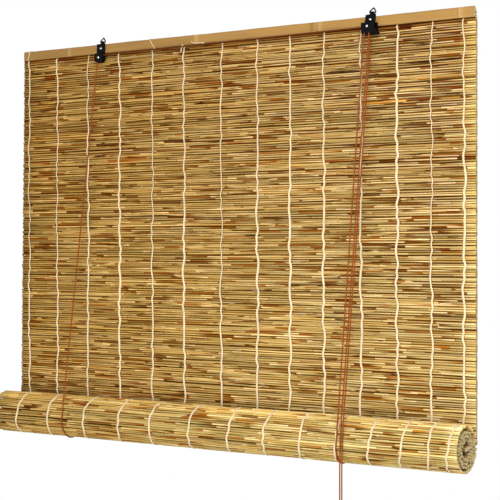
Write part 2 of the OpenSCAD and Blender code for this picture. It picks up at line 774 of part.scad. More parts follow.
module pull_knots() {
    color("SaddleBrown")
    for (x = [front_coil_x, rear_coil_x])
        translate([x, COIL_DEPTH_Y - coil_t / 2 - knot_d / 2 - thread_seat, COIL_MIDDLE_Z - coil_inner_r - coil_step])
            sphere(d = knot_d);
}

reed_panel();
panel_threads();
reed_roll();
roll_threads();
bottom_batten();
front_slat();
rear_slat();
rail_lashings();
hang_ring(left_x, ring_z);  // left_hang_ring
hang_tab(left_x, left_rivet_z, ring_z);  // left_hang_tab
fixing_rivet(left_x, left_rivet_z);  // left_fixing_rivet
pulley_case();
case_axle(pulley_x, pulley_z, pulley_depth, rivet_d, rivet_head_d);  // pulley_axle
cord_wheel(pulley_x, first_wheel_y, pulley_z);  // pulley_wheel
hang_ring(right_x, right_ring_z);  // right_hang_ring
hang_tab(right_x, right_rivet_z, right_ring_z);  // right_hang_tab
fixing_rivet(right_x, right_rivet_z);  // right_fixing_rivet
lock_case();
lock_case_rivet();
case_axle(lock_x, lock_z, lock_depth, rivet_d, lock_axle_head_d);  // lock_axle
cord_wheel(lock_x, first_wheel_y, lock_z);  // lock_rear_wheel
cord_wheel(lock_x, second_wheel_y, lock_z);  // lock_front_wheel
lock_pawl();
case_axle(pawl_x, pawl_z, lock_depth, pawl_pin_d, pawl_pin_d * 1.6);  // pawl_pin
cross_cord();
lock_cord();
lift_cord(pulley_x, first_wheel_y, pulley_z, left_sling_x);  // left_lift_cord
lift_cord(lock_x, second_wheel_y, lock_z, right_sling_x);  // right_lift_cord
sling_cord(first_wheel_y, pulley_z, left_sling_x);  // left_sling_cord
sling_cord(second_wheel_y, lock_z, right_sling_x);  // right_sling_cord
back_cord(left_sling_x);  // left_back_cord
back_cord(right_sling_x);  // right_back_cord
anchor_staples();
anchor_knots();
color("SaddleBrown") tube(PULL_FRONT_ROUTE, cord_d, [1, 0, 0]);  // pull_cord_front
color("SaddleBrown") tube(PULL_REAR_ROUTE, cord_d, [1, 0, 0]);  // pull_cord_rear
pull_coil(front_coil_x);  // pull_coil_front
pull_coil(rear_coil_x);  // pull_coil_rear
coil_tie();
pull_knots();
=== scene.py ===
"""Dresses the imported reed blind: stems, stitched threads, bamboo rail, iron fittings and twisted cords."""

import math
import random

import bpy
import numpy as np
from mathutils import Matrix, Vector


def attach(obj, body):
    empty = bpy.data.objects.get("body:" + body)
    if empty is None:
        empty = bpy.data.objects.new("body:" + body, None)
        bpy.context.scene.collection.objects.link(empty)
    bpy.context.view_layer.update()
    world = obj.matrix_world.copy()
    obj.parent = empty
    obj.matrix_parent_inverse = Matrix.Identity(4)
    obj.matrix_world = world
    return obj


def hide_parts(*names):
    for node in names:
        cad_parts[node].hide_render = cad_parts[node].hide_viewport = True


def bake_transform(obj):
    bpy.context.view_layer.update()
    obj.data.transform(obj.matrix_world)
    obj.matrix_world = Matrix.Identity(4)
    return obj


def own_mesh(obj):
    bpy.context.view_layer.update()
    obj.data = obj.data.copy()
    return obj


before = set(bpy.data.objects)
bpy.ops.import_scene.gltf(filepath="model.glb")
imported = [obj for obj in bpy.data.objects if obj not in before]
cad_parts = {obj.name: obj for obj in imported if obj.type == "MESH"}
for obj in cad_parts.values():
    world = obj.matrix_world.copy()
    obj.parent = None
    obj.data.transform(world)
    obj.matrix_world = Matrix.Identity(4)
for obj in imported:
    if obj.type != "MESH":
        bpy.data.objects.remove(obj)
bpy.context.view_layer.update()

# Sizes of the part, in metres
BLIND_W = 1.0
HALF_W = BLIND_W / 2
LEFT_FLARE = 0.009
RAIL_TRIM = 0.004
RAIL_TOP = -0.010
RAIL_H = 0.018
RAIL_BOTTOM = RAIL_TOP - RAIL_H
SLAT_T = 0.0045
SLAT_FACE = 0.00335
RAIL_FACE = SLAT_FACE + SLAT_T
MAT_TOP = -0.01375
REED_PITCH = 0.0059
ROW_FIRST = -0.73605
ROW_COUNT = 123
# The stems that show are finer than the ridges of the solids
STEM_PITCH = 0.0041
STEM_COUNT = int((ROW_COUNT - 1) * REED_PITCH / STEM_PITCH) + 1
STEM_R = 0.00205
STEM_OUT = 0.0008
STEM_SIDES = 6
# Angle along the spiral of the roll up to which its stems show
FINE_TURN = 400
OUTER_STICK_OUT = 0.008
CORE_STEM_R = 0.0026
# Bare strip at the side edges of the mat, without thin stems
EDGE_MARGIN = 0.004
AXIS_Y = -0.0376
AXIS_Z = -0.739
ROLL_R = 0.0376
TURN_PITCH = 0.0059
OUTER_HOLD = 290.0
CORE_R = 0.014
SLING_R = 0.04235
BATTEN_W = 0.018
BATTEN_T = 0.0072
BATTEN_GAP = 0.0026

CORD_VIEW_D = 0.0026
WRAP_R = 0.0047
LEFT_WHEEL = Vector((-0.2925, -0.01385, -0.037))
REAR_WHEEL = Vector((0.304, -0.01385, -0.0335))
FRONT_WHEEL = Vector((0.304, -0.01955, -0.0335))
LEFT_SLING_X = -0.332
RIGHT_SLING_X = 0.279
SLING_SHIFT = 0.018
SLING_HUG = 0.0007
BACK_CORD_Y = 0.00935
ANCHOR_TOP_Z = -0.016
ANCHOR_KNOT_YZ = (0.0109, -0.0130)

THREAD_SHARES = (
    -0.97, -0.82, -0.66, -0.50, -0.34, -0.19, -0.02, 0.14, 0.28, 0.42, 0.57, 0.71, 0.84, 0.96,
)
ROLL_THREAD_SHARES = (
    -0.90, -0.74, -0.56, -0.39, -0.24, -0.06, 0.11, 0.26, 0.41, 0.55, 0.68, 0.80, 0.90, 0.97,
)
FRONT_JOINTS = (-0.76, -0.14, 0.40, 0.94)
REAR_JOINTS = (-0.48, 0.10, 0.68)
BATTEN_JOINTS = (-0.62, -0.02, 0.58)

# Y and Z where both pull cords hang straight down to their coils
PULL_FOOT = (
    (-0.0806, -0.745), (-0.0813, -0.765), (-0.0815, -0.785), (-0.0815, -0.805), (-0.0815, -0.830),
    (-0.0815, -0.8515),
)
PULL_FRONT_ROUTE = (
    (0.3087, -0.0195, -0.0340), (0.3086, -0.0196, -0.040), (0.3083, -0.0202, -0.050),
    (0.3076, -0.0218, -0.070), (0.3066, -0.0244, -0.100), (0.3049, -0.0287, -0.150),
    (0.3033, -0.0330, -0.200), (0.3000, -0.0416, -0.300), (0.2967, -0.0502, -0.400),
    (0.2934, -0.0588, -0.500), (0.2901, -0.0674, -0.600), (0.2884, -0.0717, -0.650),
    (0.2869, -0.0765, -0.700), (0.2866, -0.0790, -0.725), *((0.2865, y, z) for y, z in PULL_FOOT),
)
PULL_REAR_ROUTE = (
    (0.3087, -0.0138, -0.0340), (0.3087, -0.0140, -0.040), (0.3087, -0.0146, -0.050),
    (0.3084, -0.0166, -0.070), (0.3078, -0.0196, -0.100), (0.3065, -0.0244, -0.150),
    (0.3052, -0.0292, -0.200), (0.3025, -0.0388, -0.300), (0.2997, -0.0483, -0.400),
    (0.2969, -0.0579, -0.500), (0.2939, -0.0670, -0.600), (0.2924, -0.0716, -0.650),
    (0.2910, -0.0765, -0.700), (0.2907, -0.0790, -0.725), *((0.2905, y, z) for y, z in PULL_FOOT),
)
FRONT_COIL_X = 0.2682
REAR_COIL_X = 0.3088
COIL_Y = -0.0815
COIL_Z = -0.862
COIL_R = 0.0183
COIL_STEP = 0.00245
COIL_COLUMNS = 4
COIL_LAYERS = 5
COIL_HALF_T = COIL_COLUMNS * COIL_STEP / 2
TIE_REACH = 0.0057

TAU = 2 * math.pi
# Direction round X in which the face of the mat looks
TO_FRONT = math.pi


def srgb(red, green, blue):
    """A colour written from 0 to 255, as the linear colour that the shaders take."""
    shares = (red / 255, green / 255, blue / 255)
    return np.array([s / 12.92 if s <= 0.04045 else ((s + 0.055) / 1.055) ** 2.4 for s in shares])


STRAW_TONES = (
    srgb(212, 184, 117), srgb(196, 166, 97), srgb(188, 162, 101), srgb(210, 174, 100), srgb(204, 180, 123),
    srgb(224, 199, 137), srgb(178, 148, 84),
)
HUSK_TONES = (
    srgb(156, 88, 10), srgb(168, 98, 18), srgb(138, 76, 6), srgb(118, 62, 6), srgb(180, 112, 32),
)
PALE_TONE = srgb(246, 220, 162)
NODE_TONE = srgb(84, 48, 14)
CUT_TONE = srgb(250, 224, 168)
HOLE_SHADE = srgb(150, 110, 60)
BAMBOO_TONE = srgb(167, 127, 69)
BAMBOO_PALE = srgb(188, 152, 94)
BAMBOO_DARK = srgb(120, 80, 34)
# Share of red, green and blue that the painted shade in a crevice between two stems takes away
CREVICE_SHADE_LOSS = np.array([0.71, 0.96, 1.42])
# Colour of the shade in which the stems behind the others lie
BACK_SHADE = np.array([1.0, 0.62, 0.08])
# Painted light across the blind: colours that the stems take on from the shaded left side of the blind to
# the lit right side
LEFT_SHADE = np.array([0.83, 0.785, 0.72])
RIGHT_LIGHT = np.array([0.93, 1.02, 1.20])
# Painted light and shade: colours that they take on near the rail, painted darker, and near the roll,
# painted paler, and the painted shadow right under the rail
TOP_SHADE = np.array([1.02, 0.955, 0.80])
LOW_LIGHT = np.array([1.15, 1.12, 1.06])
RAIL_SHADOW = np.array([0.50, 0.32, 0.14])
# Colour of the stems on the outside of the roll
ROLL_HUE = np.array([1.0, 1.02, 1.0])
# The same on its top, which is painted paler, as the light from above falls on it
ROLL_TOP_LIGHT = np.array([1.0, 1.05, 1.12])


def eased(t):
    """A smooth step from 0 to 1."""
    t = np.clip(t, 0.0, 1.0)
    return t * t * (3 - 2 * t)


def bell(away, width):
    """1 at zero, next to nothing at two widths."""
    return np.exp(-((away / width) ** 2))


# Meshes

class Skin:
    """Gathers corners, faces, a colour for each corner and a seed for each piece into one mesh."""

    def __init__(self):
        self.points = []
        self.faces = []
        self.tints = []
        self.seeds = []
        self.count = 0

    def add(self, points, tints, seed):
        """Adds corners and returns the number of the first one."""
        first = self.count
        self.points.append(np.asarray(points, float).reshape(-1, 3))
        self.tints.append(np.asarray(tints, float).reshape(-1, 3))
        self.seeds.append(np.full(len(self.points[-1]), seed))
        self.count += len(self.points[-1])
        return first

    def tube_faces(self, first, rings, sides):
        """Joins rings of corners into a tube whose rings turn from Y to Z as seen against X."""
        for i in range(rings - 1):
            low = first + i * sides
            for k in range(sides):
                m = (k + 1) % sides
                self.faces.append((low + k, low + m, low + sides + m, low + sides + k))

    def make(self, name, material):
        points = np.concatenate(self.points)
        tints = np.concatenate(self.tints)
        mesh = bpy.data.meshes.new(name)
        mesh.from_pydata(points.tolist(), [], self.faces)
        colours = np.ones((len(points), 4), np.float32)
        colours[:, :3] = tints
        layer = mesh.color_attributes.new("tint", "FLOAT_COLOR", "POINT")
        layer.data.foreach_set("color", colours.ravel())
        seeds = mesh.attributes.new("seed", "FLOAT", "POINT")
        seeds.data.foreach_set("value", np.concatenate(self.seeds).astype(np.float32))
        mesh.polygons.foreach_set("use_smooth", np.ones(len(mesh.polygons), bool))
        mesh.validate()
        mesh.update()
        piece = bpy.data.objects.new(name, mesh)
        bpy.context.scene.collection.objects.link(piece)
        mesh.materials.append(material)
        return piece


def cut_end(skin, lip, side, seed):
    """The sawn end of a hollow stem: a pale lip round a short hole whose wall and floor are painted darker
    as shade.
    """
    sides = len(lip)
    middle = lip.mean(axis=0)
    inner = middle + 0.45 * (lip - middle)
    deep = inner - np.array([side * 0.0025, 0, 0])
    pale = np.tile(CUT_TONE, (sides, 1))
    dark = np.tile(HOLE_SHADE, (sides, 1))
    outer_at = skin.add(lip, pale, seed)
    inner_at = skin.add(inner, pale * 0.8, seed)
    deep_at = skin.add(deep, dark, seed)
    for k in range(sides):
        m = (k + 1) % sides
        lip_face = (outer_at + k, inner_at + k, inner_at + m, outer_at + m)
        wall_face = (inner_at + k, deep_at + k, deep_at + m, inner_at + m)
        skin.faces.append(lip_face if side < 0 else lip_face[::-1])
        skin.faces.append(wall_face if side < 0 else wall_face[::-1])
    floor_face = tuple(deep_at + k for k in range(sides))
    skin.faces.append(floor_face[::-1] if side < 0 else floor_face)


def plain_end(skin, ring_first, sides, side):
    face = tuple(ring_first + k for k in range(sides))
    skin.faces.append(face[::-1] if side < 0 else face)


def stem_nodes(rng, start, end):
    places = []
    x = start + rng.uniform(0.01, 0.12)
    while x < end - 0.012:
        places.append(x)
        x += rng.uniform(0.08, 0.19)
    return places


def stem_colours(rng, xs, nodes, way):
    """Colour along one stem: each stretch between nodes has its own tone, some have a brown husk."""
    stretch = np.searchsorted(np.array(nodes), xs)
    tones = []
    for _ in range(len(nodes) + 1):
        first, second = rng.sample(STRAW_TONES, 2)
        tones.append((first + (second - first) * rng.random()) * rng.uniform(0.76, 1.16))
    tints = np.array(tones)[stretch]
    for node in nodes:
        if rng.random() < 0.61:
            reach = rng.choice((rng.uniform(0.008, 0.026), rng.uniform(0.024, 0.070)))
            husk = rng.choice(HUSK_TONES) * rng.uniform(0.62, 1.04)
            away = (xs - node) * way
            cover = eased(away / 0.0008) * (1 - eased((away - reach) / 0.006)) * rng.uniform(0.7, 1.0)
            tints = tints + (husk[None, :] - tints) * cover[:, None]
        if rng.random() < 0.45:
            away = -(xs - node) * way
            bloom = eased(away / 0.0006) * (1 - eased((away - rng.uniform(0.005, 0.032)) / 0.004))
            tints = tints + (PALE_TONE[None, :] - tints) * (bloom * rng.uniform(0.3, 0.9))[:, None]
        ring = bell(xs - node, 0.0007) * rng.uniform(0.3, 0.9)
        tints = tints + (NODE_TONE[None, :] - tints) * ring[:, None]
    return tints


def right_edge_strip(xs):
    """1 in the pale strip along the right side of the blind, else 0."""
    return eased((xs - HALF_W + 0.022) / 0.008)


def side_shading(xs):
    """The stems are painted darker and browner towards the left side of the blind, as shade, darkest along
    its edge, and paler and greyer towards the right side, as light, with a paler strip along its edge.
    """
    left = eased((xs + HALF_W - 0.006) / 0.012)
    across = eased((xs + HALF_W) / BLIND_W)[:, None]
    # Painted shade along the left edge, and a paler strip along the right edge
    edges = (0.66 + 0.34 * left + 0.24 * right_edge_strip(xs))[:, None]
    return edges * (LEFT_SHADE + (RIGHT_LIGHT - LEFT_SHADE) * across)


def stem_places(start, end, nodes, spacing):
    """Places of a stem's rings: even ones, and close ones at each node."""
    places = list(np.linspace(start, end, max(3, int((end - start) / spacing) + 1)))
    for node in nodes:
        for step in (-0.006, -0.0012, 0.0, 0.0012, 0.006, 0.030):
            x = node + step
            if start + 0.001 < x < end - 0.001:
                places.append(x)
    places.sort()
    kept = [places[0]]
    for x in places[1:]:
        if x - kept[-1] > 0.0006:
            kept.append(x)
    kept[-1] = end
    return np.array(kept)


def add_stem(skin, rng, start, end, middle, radius, facing, sides, spacing, shade, crevice_shade, cut, loose,
             rear=None, rear_depth=1.0):
    """One tapered stem along X round middle (y, z); cut says which ends are sawn and show a hole.

    shade dims or tints it on the side that it faces, rear on the other side, which rear_depth can flatten.
    """
    seed = rng.random()
    way = rng.choice((-1, 1))
    nodes = stem_nodes(rng, start, end)
    xs = stem_places(start, end, nodes, spacing)
    share = (xs - start) / (end - start)
    taper = share if way > 0 else 1 - share
    radii = radius * (1.08 - 0.20 * taper)
    for node in nodes:
        radii = radii * (1 + 0.055 * bell(xs - node, 0.0018))
    sway = loose * rng.choice((0.00030, 0.00045, 0.00060, 0.00095))
    slow = np.sin(xs * rng.uniform(6, 18) + rng.uniform(0, TAU))
    quick = np.sin(xs * rng.uniform(24, 58) + rng.uniform(0, TAU))
    tangent = sway * (slow + 0.5 * quick) + loose * rng.uniform(-0.0009, 0.0009)
    outward = 0.0002 * np.sin(xs * rng.uniform(8, 30) + rng.uniform(0, TAU))
    outward = outward + loose * rng.uniform(-0.0009, 0.0003)
    lift = loose * rng.choice((-1, 1)) * rng.uniform(0.0005, 0.0012)
    tip = min(0.012, (end - start) / 4)
    for away, sawn, sign in ((xs - start, cut[0], 1), (end - xs, cut[1], -1)):
        if not sawn:
            radii = radii * (0.40 + 0.60 * eased(away / tip))
            tangent = tangent + sign * lift * (1 - eased(away / 0.05))
    out_y = math.cos(facing)
    out_z = math.sin(facing)
    ys = middle[0] + outward * out_y - tangent * out_z
    zs = middle[1] + outward * out_z + tangent * out_y
    tints = stem_colours(rng, xs, nodes, way) * side_shading(xs)
    forward = np.cos(np.arange(sides) * TAU / sides)
    sideways = np.sin(np.arange(sides) * TAU / sides)
    # Painted shade: the sides of a stem that face its neighbours are painted darker, as the shade in the
    # crevices between stems, more so towards the right side of the blind and less in the strip along its
    # right edge
    side_shade = crevice_shade * np.abs(sideways) ** 2.4
    ahead = eased(0.5 + 0.8 * forward)[:, None]
    forward = np.where(forward < 0, forward * rear_depth, forward)
    shades = np.ones(3) * shade
    shades = ahead * shades + (1 - ahead) * (shades if rear is None else np.ones(3) * rear)
    points = np.empty((len(xs), sides, 3))
    points[:, :, 0] = xs[:, None]
    points[:, :, 1] = ys[:, None] + radii[:, None] * (forward * out_y - sideways * out_z)
    points[:, :, 2] = zs[:, None] + radii[:, None] * (forward * out_z + sideways * out_y)
    deeper = 0.94 + 0.22 * eased((xs + HALF_W) / BLIND_W)
    shade_depths = (deeper * (1 - 0.65 * right_edge_strip(xs)))[:, None, None] * side_shade[None, :, None]
    colours = tints[:, None, :] * shades * np.maximum(0.02, 1 - shade_depths * CREVICE_SHADE_LOSS)
    first = skin.add(points, colours, seed)
    skin.tube_faces(first, len(xs), sides)
    for side, ring, sawn in ((-1, 0, cut[0]), (1, len(xs) - 1, cut[1])):
        if sawn:
            cut_end(skin, points[ring], side, seed)
        else:
            plain_end(skin, first + ring * sides, sides, side)


def add_row(skin, rng, left, middle, facing, radius, spacing, shades, crevice_shade, hue, loose,
            sizes=(0.78, 1.08), rear=None, rear_depth=1.0):
    """A row of stems from the left end to the blind's right end, which overlap at their tips."""
    left = left + rng.uniform(-0.0014, 0.0008)
    right = HALF_W + rng.uniform(-0.0005, 0.0004)
    start = left
    while start < right:
        end = start + rng.uniform(0.16, 0.80)
        if end > right - 0.08:
            end = right
        add_stem(skin, rng, start, end, middle, radius * rng.uniform(*sizes), facing, STEM_SIDES, spacing,
                 rng.uniform(*shades) * hue, crevice_shade, (start == left, end == right), loose, rear, rear_depth)
        start = right if end == right else end - rng.uniform(0.024, 0.050)


def add_splinter(skin, rng, start, end, middle, radius, facing, shade, crevice_shade, loose, spacing=0.040):
    """A short thin stem with a tip at both ends."""
    add_stem(skin, rng, start, end, middle, radius, facing, STEM_SIDES, spacing, shade, crevice_shade,
             (False, False), loose)


def mat_left(z):
    """The left end of the mat at a height: the lower reeds stand out further."""
    return -HALF_W - LEFT_FLARE * (MAT_TOP - z) / (MAT_TOP - ROW_FIRST)


def smooth_path(points, step):
    """Points at even steps along a smooth curve through the given ones."""
    knots = [np.array(p, float) for p in points]
    ends = [2 * knots[0] - knots[1]] + knots + [2 * knots[-1] - knots[-2]]
    dense = []
    for i in range(len(knots) - 1):
        a, b, c, d = ends[i:i + 4]
        pieces = max(2, int(np.linalg.norm(c - b) / step) * 2)
        for j in range(pieces):
            t = j / pieces
            dense.append(0.5 * (2 * b + (c - a) * t + (2 * a - 5 * b + 4 * c - d) * t ** 2
                                + (3 * b - a - 3 * c + d) * t ** 3))
    dense.append(knots[-1])
    dense = np.array(dense)
    along = np.concatenate([[0], np.cumsum(np.linalg.norm(np.diff(dense, axis=0), axis=1))])
    count = max(2, int(along[-1] / step) + 1)
    even = np.linspace(0, along[-1], count)
    return np.stack([np.interp(even, along, dense[:, axis]) for axis in range(3)], axis=1)


def path_frames(path, hint):
    """Two directions across the path at each of its points, carried along without twist."""
    along = np.gradient(path, axis=0)
    along /= np.linalg.norm(along, axis=1)[:, None]
    across = np.cross(along[0], np.array(hint, float))
    across /= np.linalg.norm(across)
    firsts = []
    for t in along:
        across = across - t * np.dot(across, t)
        across /= np.linalg.norm(across)
        firsts.append(across)
    firsts = np.array(firsts)
    return firsts, np.cross(along, firsts)


def add_rope(skin, path, diameter, lobes, lay, sides, tone, hint, flatten=1.0, sizes=None, depth=0.16,
             seed=0.5):
    """A twisted rope along even path points: its section has a lobe for each ply and turns along it."""
    u, v = path_frames(path, hint)
    steps = np.concatenate([[0], np.cumsum(np.linalg.norm(np.diff(path, axis=0), axis=1))])
    turn = steps / lay * TAU
    angle = (np.arange(sides) * TAU / sides)[None, :]
    ridge = np.abs(np.cos(lobes * (angle - turn[:, None]) / 2))
    radius = diameter / 2 * (1 - depth + depth * ridge)
    if sizes is not None:
        radius = radius * sizes[:, None]
    points = (path[:, None, :]
              + (radius * np.cos(angle))[:, :, None] * u[:, None, :] * flatten
              + (radius * np.sin(angle))[:, :, None] * v[:, None, :])
    # The grooves between the plies are painted darker, as shade
    groove = 0.50 + 0.50 * ridge
    tints = np.asarray(tone)[None, None, :] * groove[:, :, None]
    first = skin.add(points, tints, seed)
    skin.tube_faces(first, len(path), sides)
    plain_end(skin, first, sides, -1)
    plain_end(skin, first + (len(path) - 1) * sides, sides, 1)


# Materials

def start_material(name):
    material = bpy.data.materials.new(name)
    material.use_nodes = True
    tree = material.node_tree
    return material, tree, tree.nodes["Principled BSDF"]


def seed_value(tree, factor):
    attribute = tree.nodes.new("ShaderNodeAttribute")
    attribute.attribute_name = "seed"
    times = tree.nodes.new("ShaderNodeMath")
    times.operation = "MULTIPLY"
    times.inputs[1].default_value = factor
    tree.links.new(attribute.outputs["Fac"], times.inputs[0])
    return times.outputs[0]


def noise(tree, stretch, scale, detail, seed=None):
    """A noise over the places of the piece, with its own measure along X, Y and Z."""
    coordinates = tree.nodes.new("ShaderNodeTexCoord")
    mapping = tree.nodes.new("ShaderNodeMapping")
    mapping.inputs["Scale"].default_value = stretch
    tree.links.new(coordinates.outputs["Object"], mapping.inputs["Vector"])
    texture = tree.nodes.new("ShaderNodeTexNoise")
    texture.noise_dimensions = "4D" if seed is not None else "3D"
    texture.inputs["Scale"].default_value = scale
    texture.inputs["Detail"].default_value = detail
    tree.links.new(mapping.outputs["Vector"], texture.inputs["Vector"])
    if seed is not None:
        tree.links.new(seed, texture.inputs["W"])
    return texture.outputs["Fac"]


def ramp(tree, value, stops):
    node = tree.nodes.new("ShaderNodeValToRGB")
    elements = node.color_ramp.elements
    while len(elements) < len(stops):
        elements.new(0.5)
    for element, (place, colour) in zip(elements, stops):
        element.position = place
        element.color = (*colour, 1) if not isinstance(colour, float) else (colour, colour, colour, 1)
    tree.links.new(value, node.inputs["Fac"])
    return node.outputs["Color"]


def feed(tree, socket, value):
    """Joins another node to the socket, or sets it to a number or a colour."""
    if isinstance(value, bpy.types.NodeSocket):
        tree.links.new(value, socket)
    elif isinstance(value, float):
        socket.default_value = value
    else:
        socket.default_value = (*value, 1)


def mix(tree, kind, factor, first, second):
    node = tree.nodes.new("ShaderNodeMix")
    node.data_type = "RGBA"
    node.blend_type = kind
    feed(tree, node.inputs[0], factor)
    feed(tree, node.inputs[6], first)
    feed(tree, node.inputs[7], second)
    return node.outputs[2]


def tint_colour(tree):
    attribute = tree.nodes.new("ShaderNodeVertexColor")
    attribute.layer_name = "tint"
    return attribute.outputs["Color"]


def finish_skin(tree, shader, colour, roughness, specular, height, strength, distance):
    """Joins the colour and the gloss to the shader, and a bump of this height."""
    feed(tree, shader.inputs["Base Color"], colour)
    feed(tree, shader.inputs["Roughness"], roughness)
    feed(tree, shader.inputs["Specular IOR Level"], specular)
    bump = tree.nodes.new("ShaderNodeBump")
    bump.inputs["Strength"].default_value = strength
    bump.inputs["Distance"].default_value = distance
    tree.links.new(height, bump.inputs["Height"])
    tree.links.new(bump.outputs["Normal"], shader.inputs["Normal"])


def reed_material():
    """Dry reed: fine streaks along the stem, brown blotches and a slight gloss."""
    material, tree, shader = start_material("dry_reed")
    seed = seed_value(tree, 60.0)
    streaks = noise(tree, (10, 620, 620), 1.0, 3.0, seed)
    blotches = noise(tree, (38, 150, 150), 1.0, 2.0, seed)
    grey = ramp(tree, streaks, ((0.30, 0.66), (0.70, 1.18)))
    colour = mix(tree, "MULTIPLY", 1.0, tint_colour(tree), grey)
    stain = ramp(tree, blotches, ((0.58, 0.0), (0.74, 0.30)))
    colour = mix(tree, "MIX", stain, colour, srgb(150, 90, 24))
    gloss = ramp(tree, blotches, ((0.3, 0.56), (0.7, 0.76)))
    finish_skin(tree, shader, colour, gloss, 0.04, streaks, 0.35, 0.0003)
    return material


def bamboo_material():
    """Split bamboo: long fibres and faint darker flecks."""
    material, tree, shader = start_material("split_bamboo")
    fibres = noise(tree, (6, 900, 900), 1.0, 4.0)
    flecks = noise(tree, (40, 520, 520), 1.0, 3.0)
    clouds = noise(tree, (7, 40, 40), 1.0, 2.0)
    lines = ramp(tree, fibres, ((0.30, 0.82), (0.70, 1.08)))
    shades = ramp(tree, clouds, ((0.30, 0.88), (0.70, 1.06)))
    spots = ramp(tree, flecks, ((0.64, 0.0), (0.78, 0.35)))
    colour = mix(tree, "MULTIPLY", 1.0, tint_colour(tree), lines)
    colour = mix(tree, "MULTIPLY", 1.0, colour, shades)
    colour = mix(tree, "MIX", spots, colour, BAMBOO_DARK)
    gloss = ramp(tree, flecks, ((0.3, 0.42), (0.7, 0.56)))
    finish_skin(tree, shader, colour, gloss, 0.2, fibres, 0.25, 0.0003)
    return material


def fibre_material(name, low, high, sheen):
    """Spun thread or cord: the tint of its plies with fine fuzz."""
    material, tree, shader = start_material(name)
    fuzz = noise(tree, (1, 1, 1), 1400.0, 3.0)
    worn = noise(tree, (1, 1, 1), 60.0, 3.0)
    colour = mix(tree, "MULTIPLY", 1.0, tint_colour(tree), ramp(tree, fuzz, ((0.3, low), (0.7, high))))
    colour = mix(tree, "MULTIPLY", 1.0, colour, ramp(tree, worn, ((0.3, 0.88), (0.7, 1.06))))
    shader.inputs["Sheen Weight"].default_value = sheen
    finish_skin(tree, shader, colour, 0.85, 0.1, fuzz, 0.4, 0.0002)
    return material


def iron_material():
    """Black painted iron with a soft orange-peel skin and a few grey scuffs."""
    material, tree, shader = start_material("black_paint")
    skin = noise(tree, (1, 1, 1), 900.0, 2.0)
    scuffs = noise(tree, (1, 1, 1), 330.0, 5.0)
    scuffed = ramp(tree, scuffs, ((0.60, 0.0), (0.72, 0.55)))
    colour = mix(tree, "MIX", scuffed, srgb(12, 11, 12), srgb(46, 42, 40))
    gloss = ramp(tree, scuffs, ((0.35, 0.32), (0.70, 0.52)))
    finish_skin(tree, shader, colour, gloss, 0.05, skin, 0.15, 0.0002)
    return material


def steel_material():
    """Bright plated steel, a little worn."""
    material, tree, shader = start_material("plated_steel")
    wear_and_light = noise(tree, (1, 1, 1), 500.0, 4.0)
    colour = ramp(tree, wear_and_light, ((0.35, srgb(214, 212, 206)), (0.7, srgb(160, 156, 150))))
    gloss = ramp(tree, wear_and_light, ((0.3, 0.24), (0.7, 0.42)))
    shader.inputs["Metallic"].default_value = 1.0
    finish_skin(tree, shader, colour, gloss, 0.5, wear_and_light, 0.1, 0.0001)
    return material


reed_skin = reed_material()
bamboo_skin = bamboo_material()
thread_skin = fibre_material("binding_thread", 0.86, 1.05, 0.15)
cord_skin = fibre_material("brown_cord", 0.70, 1.20, 0.0)
iron_skin = iron_material()
steel_skin = steel_material()

THREAD_TONE = srgb(252, 229, 186)
CORD_TONE = srgb(158, 80, 32)


# Mat

def height_shading(z):
    """The mat is painted paler near the roll than near the rail, as light and shade, and a painted brown
    shadow lies right under the rail.
    """
    shadow_share = eased((z - RAIL_BOTTOM + 0.009) / 0.005)
    wear_and_light = LOW_LIGHT + (TOP_SHADE - LOW_LIGHT) * eased((z - ROW_FIRST) / (MAT_TOP - ROW_FIRST))
    return wear_and_light * (1 - shadow_share + shadow_share * RAIL_SHADOW)


def panel_reeds():
    """The stems of the mat's face."""
    rng = random.Random(11)
    skin = Skin()
    for row in range(STEM_COUNT):
        z = ROW_FIRST + row * STEM_PITCH
        # The painted crevice shade is deeper near the rail than near the roll
        crevice_shade = 0.92 + 0.30 * float(eased((z - ROW_FIRST) / (MAT_TOP - ROW_FIRST)))
        add_row(skin, rng, mat_left(z), (-STEM_OUT, z), TO_FRONT, STEM_R, spacing=0.030,
                shades=(1.00, 1.20), crevice_shade=crevice_shade, hue=height_shading(z), loose=0.7)
    return skin.make("reed_mat", reed_skin)


# Colour of dark stems: the listed ones stand for gaps between the stems and are painted shade; the short
# ones are partly dark marks and partly painted shade of small gaps
GAP_SHADE_AND_DARK_HUE = np.array([0.10, 0.055, 0.03])
AMBER_HUE = np.array([1.0, 0.60, 0.20])
# Stems that stand out on the face: start and end along X, how far under the rail, radius and colour
ODD_STEMS = (
    (0.214, 0.280, 0.073, 0.0022, GAP_SHADE_AND_DARK_HUE), (0.372, 0.425, 0.068, 0.0016, GAP_SHADE_AND_DARK_HUE),
    (0.436, 0.470, 0.066, 0.0015, GAP_SHADE_AND_DARK_HUE), (0.438, 0.480, 0.124, 0.0015, GAP_SHADE_AND_DARK_HUE),
    (0.286, 0.494, 0.131, 0.0016, AMBER_HUE), (0.380, 0.494, 0.095, 0.0015, AMBER_HUE),
)


